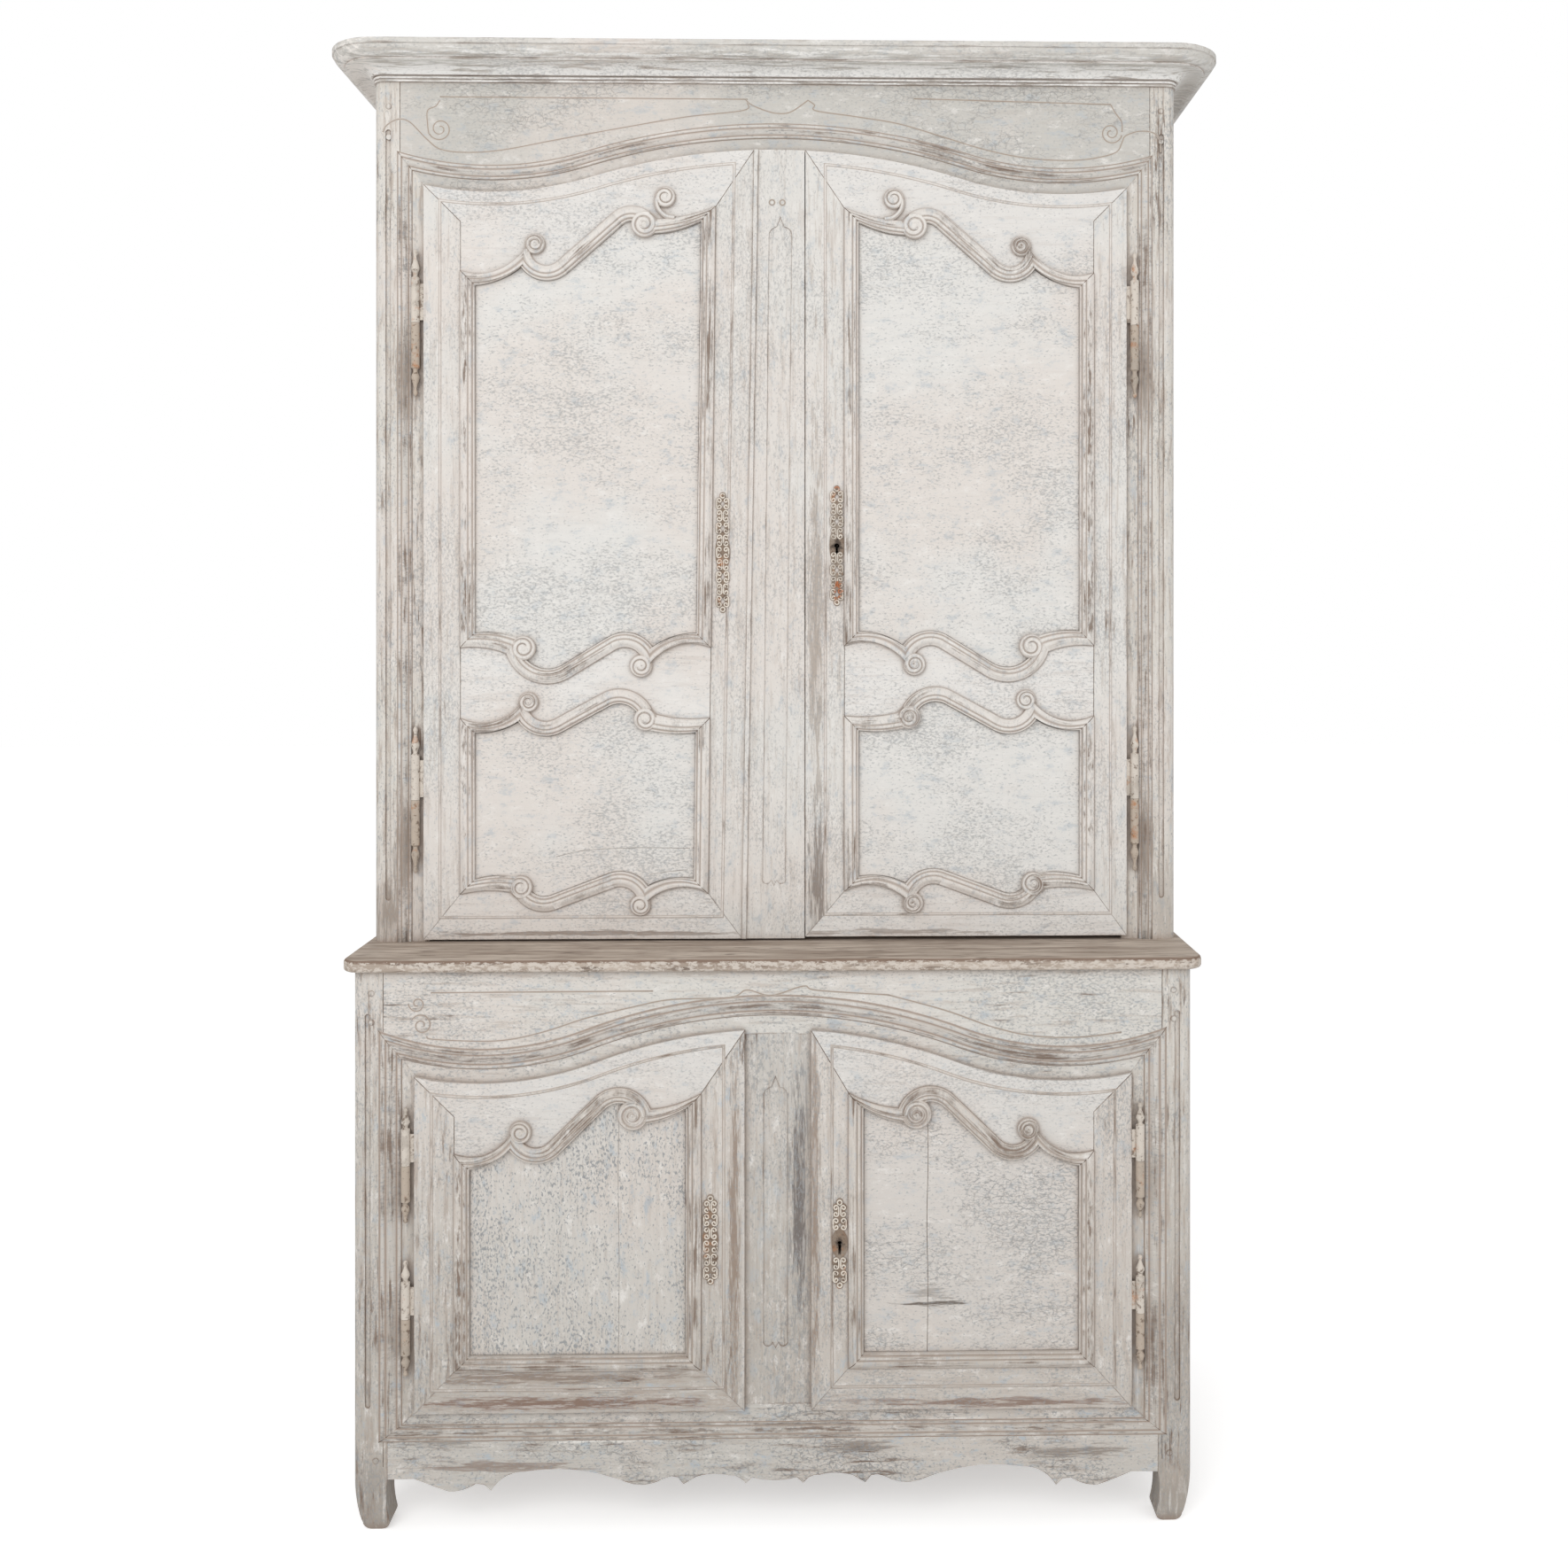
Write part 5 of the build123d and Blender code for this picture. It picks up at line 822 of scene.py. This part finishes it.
# sheet iron behind those curls: brown, as painted shade and dirt between them, which throws them into relief;
# black at the keyholes
PLATE_IRON = painted_iron("iron_plate_dirty_behind_its_curls", 0.5, "#857465", [
    mark(UPPER_FACE, 103.5, 1608, 9, 14, "#3a2f28", 0.85),
    mark(LOWER_FACE, 106.5, 462, 8, 10, "#3a2f28", 0.8)])
# the same curls where keys and hands wore the paint: orange rust above and below the keyhole
RUSTY_IRON = painted_iron("iron_curls_rusting_by_the_key", 0.5, "#e2d9cd", [
    mark(UPPER_FACE, 104, 1608, 13, 13, "#6f5c4b", 0.6),
    mark(UPPER_FACE, 104, 1710, 13, 6, "#a85a22", 0.8),
    mark(UPPER_FACE, 106, 1535, 9, 18, "#a85a22", 0.9),
    mark(LOWER_FACE, 107, 462, 13, 13, "#6f5c4b", 0.6)])
# dirt in joints that have opened, in seams that lime nearly fills and in the gap between the upper doors;
# painted shade with dirt, near black, where that gap opens wide
JOINT_DARK = dirt_and_shade_fill("dirt_in_open_joints", "#54463b", "#a3968a")
SEAM_PALE = dirt_and_shade_fill("dirt_in_board_seams", "#938b84", "#c3beb8")
GAP_SHADE_AND_DIRT = dirt_and_shade_fill("shade_and_dirt_of_the_meeting_gap", "#2b231d", "#54463b")


# ================================================================ carved pieces
def joint(face, path, rise=0.0):
    """Open joint along a path of the front view, on a plane or climbing over a carved rib."""
    return band(path, JOINT, face, rise)


def stem(face, line, spots):
    """Rounded band from a rib to a free scroll eye, through spots in hundredths of the line's width."""
    return band(smooth(line.place(np.array(spots) * line.far[0] / 100)), STEM, face)


def corners(pair, o):
    """A panel's corners o inside its rib's middle: hinge top, lock top, lock foot, hinge foot."""
    top, foot = pair[0].run(o), pair[1].run(o)
    return [top[0], top[-1], foot[0], foot[-1]]


def leaf_joints(leaf):
    """Open joints of a leaf, over its ribs and where its stiles and rails meet; apart, the closed ones.

    A joint runs from the leaf's corner to its first panel and on from panel to panel. The last one, down to
    the foot, is closed.
    """
    climb = np.linspace(-RIB_HALF, RIB_HALF, 40)
    rise = np.interp(climb, RIB[:, 0], RIB[:, 1])
    head_z = float(leaf.arch.z(leaf.hinge))
    head_x = leaf.pairs[0][0].start[0]
    hinge = [(leaf.hinge, head_z), (head_x, head_z - (head_x - leaf.hinge))]
    lock = [(leaf.locks[0], float(leaf.arch.z(leaf.locks[0])))]
    shells = []
    for pair in leaf.pairs:
        outer, inner = corners(pair, -RIB_HALF), corners(pair, RIB_HALF)
        shells += [joint(leaf.face, straight(a, b, 40), rise) for a, b in zip(outer, inner)]
        shells.append(joint(leaf.face, np.array(hinge + [outer[0]])))
        shells.append(joint(leaf.face, np.array(lock + [outer[1]])))
        hinge, lock = [outer[3]], [outer[2]]
    ends = (hinge[0], (leaf.hinge, leaf.foot)), (lock[0], (leaf.locks[1], leaf.foot))
    return shells, [joint(leaf.face, np.array(end)) for end in ends]


BEAD_SIDE, BEAD_HEAD, BEAD_FOOT = 28, 22, 38  # of a leaf's bead from the leaf's edges
BEAD_LOCK = 34  # the same at the lock side, on the edge that the other door meets


def frame_line(leaf, o):
    """Closed line of the bead on a leaf's frame, o inside the bead's middle."""
    x0, x1, x2 = leaf.hinge + BEAD_SIDE + o, leaf.locks[0] - BEAD_LOCK - o, leaf.locks[1] - BEAD_LOCK - o
    foot = leaf.foot + BEAD_FOOT + o
    top = leaf.arch.line(x0, x1, -BEAD_HEAD - o, 90)
    return np.concatenate([top, straight((x1, top[-1][1]), (x2, foot), 30)[1:],
                           straight((x0, foot), top[0], 30)[:-1]])


# spots of the stem on an upper leaf: from the head rib up and round to the free eye
FREE_STEM = [(84, 21), (80.4, 21.8), (77.6, 24.6), (76.9, 28.2), (78.6, 31.6)]
for leaf in LEAVES:
    door = leaf.name + "_door"
    upper = leaf in (upper_left, upper_right)
    carved_coat = CARVED_COAT if upper else LOW_CARVED_COAT
    ribs = [rib_shell(leaf, pair) for pair in leaf.pairs]
    eyes = [eye_shell(*eye, leaf.face) for pair in leaf.pairs for line in pair for eye in line.eyes()]
    if upper:
        eyes.append(stem(leaf.face, leaf.pairs[0][0], FREE_STEM))
    bead = relief(lambda o: frame_line(leaf, o), BEAD, leaf.face, True)
    open_joints, closed_joints = leaf_joints(leaf)
    for part, coat, shells, soft in (
            ("ribs", carved_coat, ribs, True), ("scroll_eyes", carved_coat, eyes, True),
            ("frame_bead", carved_coat, [bead], True), ("joints", JOINT_DARK, open_joints, False),
            ("foot_joints", SEAM_PALE, closed_joints, False)):
        piece(f"{leaf.name}_{part}", door, coat, shells, leaf.flip, soft=soft)


# ================================================================ mouldings round the door openings
# distance out from the lip, height off the posts' face, hollowness: quirk, round, quirk, ogee, quirk, bead
UPPER_PORTAL = np.array([
    (45.2, -0.4, 1), (45.0, 0.12, 0.7), (44.0, 0.14, 1), (43.2, 0.5, 0.8), (42.3, 1.3, 0.1), (40.6, 1.75, 0),
    (38.9, 1.3, 0.1), (38.0, 0.2, 0.9), (37.2, -0.15, 1), (36.4, 0.1, 0.5), (35.0, -0.3, 0.1),
    (33.0, -1.2, 0), (31.0, -2.6, 0), (29.5, -3.9, 0.1), (28.0, -5.0, 0.3), (26.8, -5.9, 1), (26.2, -6.2, 1),
    (25.6, -5.6, 0.5), (24.4, -5.0, 0), (23.0, -5.2, 0), (22.0, -6.4, 0.3), (21.7, -7.6, 1),
    (20.9, -8.2, 1), (20.7, -9.0, 1),
])
# the same, spread to the lower moulding's width beyond the reveal
LOWER_PORTAL = UPPER_PORTAL.copy()
LOWER_PORTAL[:, 0] = REVEAL + (UPPER_PORTAL[:, 0] - REVEAL) * LOWER_MOULD / UPPER_MOULD
ARCH_STEPS, UPPER_STEPS, LOWER_STEPS = 160, 39, 29  # along an arch, and up a post beside it


def portal(arch, lip, base, steps, d):
    """Up the left post from a base, along the arch and down the right post, d outside the opening's lip."""
    x = lip + d
    top = arch.line(-x, x, d, ARCH_STEPS + 1)
    left = straight((-x, base), top[0], steps + 1)[:-1]
    return np.concatenate([left, top, left[::-1] * (-1, 1)])


def upper_portal(d):
    """Line of the upper moulding, which stands on the ledge."""
    return portal(UPPER_ARCH, UPPER_LIP, UPPER_BASE, UPPER_STEPS, d)


def lower_portal(d):
    """Closed line of the lower moulding; along the sill it is narrower."""
    sill = low("lower_left_bottom_rail", 2) - REVEAL - (d - REVEAL) * SILL_MOULD / LOWER_MOULD
    return portal(LOWER_ARCH, LOWER_LIP, sill, LOWER_STEPS, d)


piece("upper_portal_moulding", "case", MOULD_COAT, [relief(upper_portal, UPPER_PORTAL, UPPER_FACE, False)])
piece("lower_portal_moulding", "case", MOULD_COAT, [relief(lower_portal, LOWER_PORTAL, LOWER_FACE, True)])


def mitres(line, profile, spots, face):
    """Open mitres of a portal moulding: every offset's corner point, climbing over the profile."""
    ways = np.stack([line(o) for o in profile[:, 0]])
    return [joint(face, ways[:, spot], profile[:, 1]) for spot in spots]


OVER_MOULD = 6  # a post's joint starts this far above the moulding
APRON_JOINT = (158, 104)  # heights between which the apron's joints with the posts show
head_spots = (UPPER_STEPS, UPPER_STEPS + ARCH_STEPS)
foot_spots = (0, LOWER_STEPS, LOWER_STEPS + ARCH_STEPS, 2 * LOWER_STEPS + ARCH_STEPS)
upper_joints = mitres(upper_portal, UPPER_PORTAL, head_spots, UPPER_FACE)
lower_joints = mitres(lower_portal, LOWER_PORTAL, foot_spots, LOWER_FACE)
for side in (-1, 1):
    x = side * UPPER_SEAM
    start = UPPER_ARCH.z(UPPER_SEAM) + REVEAL + UPPER_MOULD + OVER_MOULD
    upper_joints.append(joint(UPPER_FACE, straight((x, start), (x, UPPER_TOP), 20)))
    x = side * LOWER_SEAM
    start = LOWER_ARCH.z(LOWER_SEAM) + REVEAL + LOWER_MOULD + OVER_MOULD
    lower_joints.append(joint(LOWER_FACE, straight((x, start), (x, LOWER_TOP), 20)))
    lower_joints.append(joint(LOWER_FACE, straight((x, APRON_JOINT[0]), (x, APRON_JOINT[1]), 8)))
piece("upper_case_joints", "case", JOINT_DARK, upper_joints, soft=False)
piece("lower_case_joints", "case", JOINT_DARK, lower_joints, soft=False)


# ================================================================ incised lines, in millimetres
FRIEZE_LINES = [
    straight((-576, 2377), (-50, 2376), 30),
    smooth([(-576, 2371), (-583, 2361), (-597, 2353), (-597, 2330), (-595, 2314)]),
    scroll((-576, 2322), 20, 205, 1.7),
    smooth([(-673, 2316), (-666, 2328), (-647, 2338), (-627, 2333), (-598, 2304), (-574, 2287), (-530, 2282),
            (-467, 2287), (-370, 2306), (-253, 2328), (-156, 2345), (-57, 2357), (-50, 2371)]),
    smooth([(-54, 2376), (-44, 2367), (-20, 2357), (2, 2352), (25, 2355), (54, 2375)]),
    smooth([(54, 2375), (65, 2367), (68, 2357), (139, 2347), (212, 2335), (294, 2311), (362, 2291),
            (430, 2278), (503, 2274), (552, 2279), (586, 2289), (596, 2306), (602, 2317), (625, 2325),
            (649, 2323), (661, 2311), (663, 2289)]),
    straight((236, 2379), (576, 2371), 20),
    smooth([(576, 2371), (584, 2357), (595, 2341), (596, 2324)]),
    scroll((577, 2322), 19, -12, -1.7),
]
LOW_RAIL_LINES = [
    straight((-559, 875), (-198, 876), 20),
    smooth([(-566, 804), (-553, 799), (-453, 796), (-381, 809), (-308, 832), (-236, 849), (-169, 862),
            (-73, 865), (-45, 877), (-5, 868), (47, 883), (70, 876), (186, 868)]),
    smooth([(186, 868), (280, 842), (356, 815), (422, 800), (498, 797), (569, 805)]),
    scroll((-581, 857), 14, 180, 1.3),
    scroll((-574, 822), 18, 150, -1.5),
]
piece("frieze_carving", "case", INCISED_COAT, [band(line, CUT, UPPER_FACE) for line in FRIEZE_LINES])
piece("lower_rail_carving", "case", INCISED_COAT, [band(line, CUT, LOWER_FACE) for line in LOW_RAIL_LINES])
rings = [ringed((x, 2199), 4.5, 36, CUT, UPPER_FACE) for x in (-8, 10)]
piece("meeting_strip_rings", "upper_left_door", INCISED_COAT, rings)


# ================================================================ cracks and gaps, in millimetres
GAP_HALF = 0.7  # of the gap between the strip and the right door
gap_x = high("meeting_strip", 0) + GAP_HALF
gap = straight((gap_x, 2150), (gap_x, 960), 60)
wide_gap = straight((gap_x, 1650), (gap_x, 1448), 20)
CRACKS = [
    [(-378, 1075), (-345, 1083), (-315, 1087), (-240, 1090), (-149, 1089)],
    [(-218, 1044), (-185, 1049), (-153, 1052)],
    [(-173, 1030), (-155, 1033), (-136, 1034)],
]
split = smooth([(250, 690), (251.5, 600), (249.5, 500), (251, 400), (250, 271)])
seam = smooth([(-254, 690), (-255, 560), (-253.5, 420), (-255, 272)])
cracks = [joint(low("upper_left_panels", 1), smooth(crack, 4)) for crack in CRACKS]
# painted shade with dirt: a near-black strip where the meeting gap opens wide
open_gap = band(wide_gap, JOINT * (1.5, 1, 1), UPPER_FACE + 0.4)
for name, door, coat, shells in (
        ("meeting_gap_dirt", "upper_left_door", JOINT_DARK, [joint(UPPER_FACE + 0.5, gap)]),
        ("meeting_gap_dark", "upper_left_door", GAP_SHADE_AND_DIRT, [open_gap]),
        ("low_panel_cracks", "upper_left_door", SEAM_PALE, cracks),
        ("low_panel_split", "lower_right_door", JOINT_DARK, [joint(PANEL_FACE, split)]),
        ("low_panel_seam", "lower_left_door", SEAM_PALE, [joint(low("lower_left_panel", 1), seam)])):
    piece(name, door, coat, shells, soft=False)


# ================================================================ escutcheons
CURL_PITCH = 20
PLATE_END = 9  # left for the ring at each end of a plate
KEY_CLEAR = 12  # between the keyhole's middle and the nearest curls
CURL_PLACE = 0.47  # of half the plate's width, from its middle line out


def curls(node, keyhole):
    """Mirrored pairs of forged curls up a plate, alternately turned, but none at its keyhole; end rings."""
    left, right, foot, head = low(node, 0), high(node, 0), low(node, 2), high(node, 2)
    face, middle, half = low(node, 1), (left + right) / 2, (right - left) / 2
    room = head - foot - 2 * PLATE_END
    rows = round(room / CURL_PITCH)
    # one spiral running out above and on into another below
    curl = np.concatenate([scroll((0, 5), 4.5, 180, -1.1, 0.3)[::-1], scroll((0, -5), 4.5, 180, 1.1, 0.3)])
    shells = []
    for row in range(rows):
        level = foot + PLATE_END + room / rows * (row + 0.5)
        if keyhole and abs(level - (foot + head) / 2) < KEY_CLEAR:
            continue
        for side in (-1, 1):
            turned = side if row % 2 else -side
            shells.append(band(curl * (turned, 1) + (middle + side * CURL_PLACE * half, level), CURL, face))
    return shells + [ringed((middle, level), 3.6, 30, CURL, face) for level in (foot + 6, head - 6)]


for leaf in LEAVES:
    keyhole = leaf.flip < 0
    plate = leaf.name + "_escutcheon"
    coat = RUSTY_IRON if keyhole else CURL_IRON
    piece(plate + "_curls", leaf.name + "_door", coat, curls(plate, keyhole))


# ================================================================ finishes of the joinery
def back_wood(body):
    """Dry oak of one body's back, with a dark seam at each edge of its seven boards."""
    left, right = CORNER[body + "_back_boards"]
    return bare_board(f"dry_{body}_back_boards", *INNER_TONES, grain="upright", board=(right.x - left.x) / 7)


# part of a node's name and its finish, for each slot of the record; the first that fits counts
PAINTED = [
    ("panels", PANEL_COAT), ("lower_left_panel", LOW_PANEL_COAT), ("lower_right_panel", MARKED_PANEL_COAT),
    ("upper_right_stiles", KEY_STILE_COAT), ("lower_left_stiles", LOW_STILE_COAT),
    ("lower_right_stiles", PALE_STILE_COAT), ("stiles", STILE_COAT), ("strip", STILE_COAT),
    ("centre_stile", CENTRE_COAT), ("posts", POST_COAT), ("post_", POST_COAT), ("frieze", FRIEZE_COAT),
    ("cornice", CORNICE_COAT), ("lower_top_rail", LOW_RAIL_COAT), ("apron", APRON_COAT),
    ("lower_right_bottom_rail", PALE_FOOT_COAT), ("bottom_rail", FOOT_RAIL_COAT),
    ("lower_rails", DOOR_FOOT_COAT),
]
BARE = [("upper_back", back_wood("upper")), ("lower_back", back_wood("lower")), ("top_board", LEDGE_WOOD)]
IRON = [("escutcheon", PLATE_IRON), ("pins", PIN_IRON)]
COATS = {  # slot: its special finishes and its usual one
    "painted_oak": (PAINTED, RAIL_COAT), "bare_oak": ([], LEDGE_WOOD), "inner_boards": (BARE, SHELF_WOOD),
    "pegs": ([], POST_COAT), "iron": (IRON, PALE_IRON),
}
for name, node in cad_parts.items():
    for place in node.material_slots:
        special, usual = COATS[place.material.name]
        place.material = next((coat for part, coat in special if part in name), usual)


# ================================================================ stage, light and camera
def sheet_of(name, points, material):
    """Flat four-cornered stage piece, in metres."""
    mesh = bpy.data.meshes.new(name)
    mesh.from_pydata(points, [], [(0, 1, 2, 3)])
    mesh.materials.append(material)
    made = bpy.data.objects.new(name, mesh)
    bpy.context.scene.collection.objects.link(made)


def seen_directly(tree):
    """Share of a ray that meets the background itself, or through a mirror or glass."""
    rays = add(tree, "LightPath")
    seen = rays["Is Camera Ray"]
    for way in ("Is Glossy Ray", "Is Transmission Ray"):
        seen = add(tree, "Math", {0: seen, 1: rays[way]}, operation="MAXIMUM")[0]
    return seen


# matt white paper that brightens to pure white where it is looked at, and still takes a shadow
floor_paper, tree = finish("pale_floor_paper")
glow = add(tree, "Math", {0: seen_directly(tree), 1: 0.47}, operation="MULTIPLY")[0]
lit = add(tree, "BsdfDiffuse", {"Color": colour("#f0f0f0")})[0]
shine = add(tree, "Emission", {"Strength": glow})[0]
add(tree, "OutputMaterial", {"Surface": add(tree, "AddShader", {0: lit, 1: shine})[0]})
sheet_of("floor", [(-15, -15, 0), (15, -15, 0), (15, 15, 0), (-15, 15, 0)], floor_paper)

# white surround, dimmer as a light than it looks
world = bpy.data.worlds.new("studio")
bpy.context.scene.world = world
world.use_nodes = True
tree = world.node_tree
tree.nodes.clear()
level = add(tree, "MapRange", {0: seen_directly(tree), 3: 0.62, 4: 1.0})[0]
back = add(tree, "Background", {"Color": (1.0, 1.0, 1.0, 1.0), "Strength": level})[0]
add(tree, "OutputWorld", {"Surface": back})


def lamp(name, place, aim, size, watts):
    """Square soft lamp turned from its place towards a point."""
    data = bpy.data.lights.new(name, "AREA")
    data.size = size
    data.energy = watts
    made = bpy.data.objects.new(name, data)
    made.location = place
    made.rotation_euler = (Vector(aim) - Vector(place)).to_track_quat("-Z", "Y").to_euler()
    bpy.context.scene.collection.objects.link(made)


lamp("key", (-1.8, -3.9, 3.5), (0, 0, 1.3), size=3.2, watts=87)
lamp("fill", (3.2, -3.8, 2.2), (0, 0, 1.2), size=3.0, watts=38)

view = bpy.data.cameras.new("camera")
view.lens = 35.1
view.sensor_width = 36
view.shift_x, view.shift_y = -0.040, -0.1056
camera = bpy.data.objects.new("camera", view)
camera.location = (0.070, -2.7835, 1.484)
camera.rotation_euler = (radians(90), 0, radians(-1.1))
bpy.context.scene.collection.objects.link(camera)
bpy.context.scene.camera = camera
bpy.context.scene.view_settings.view_transform = "Standard"
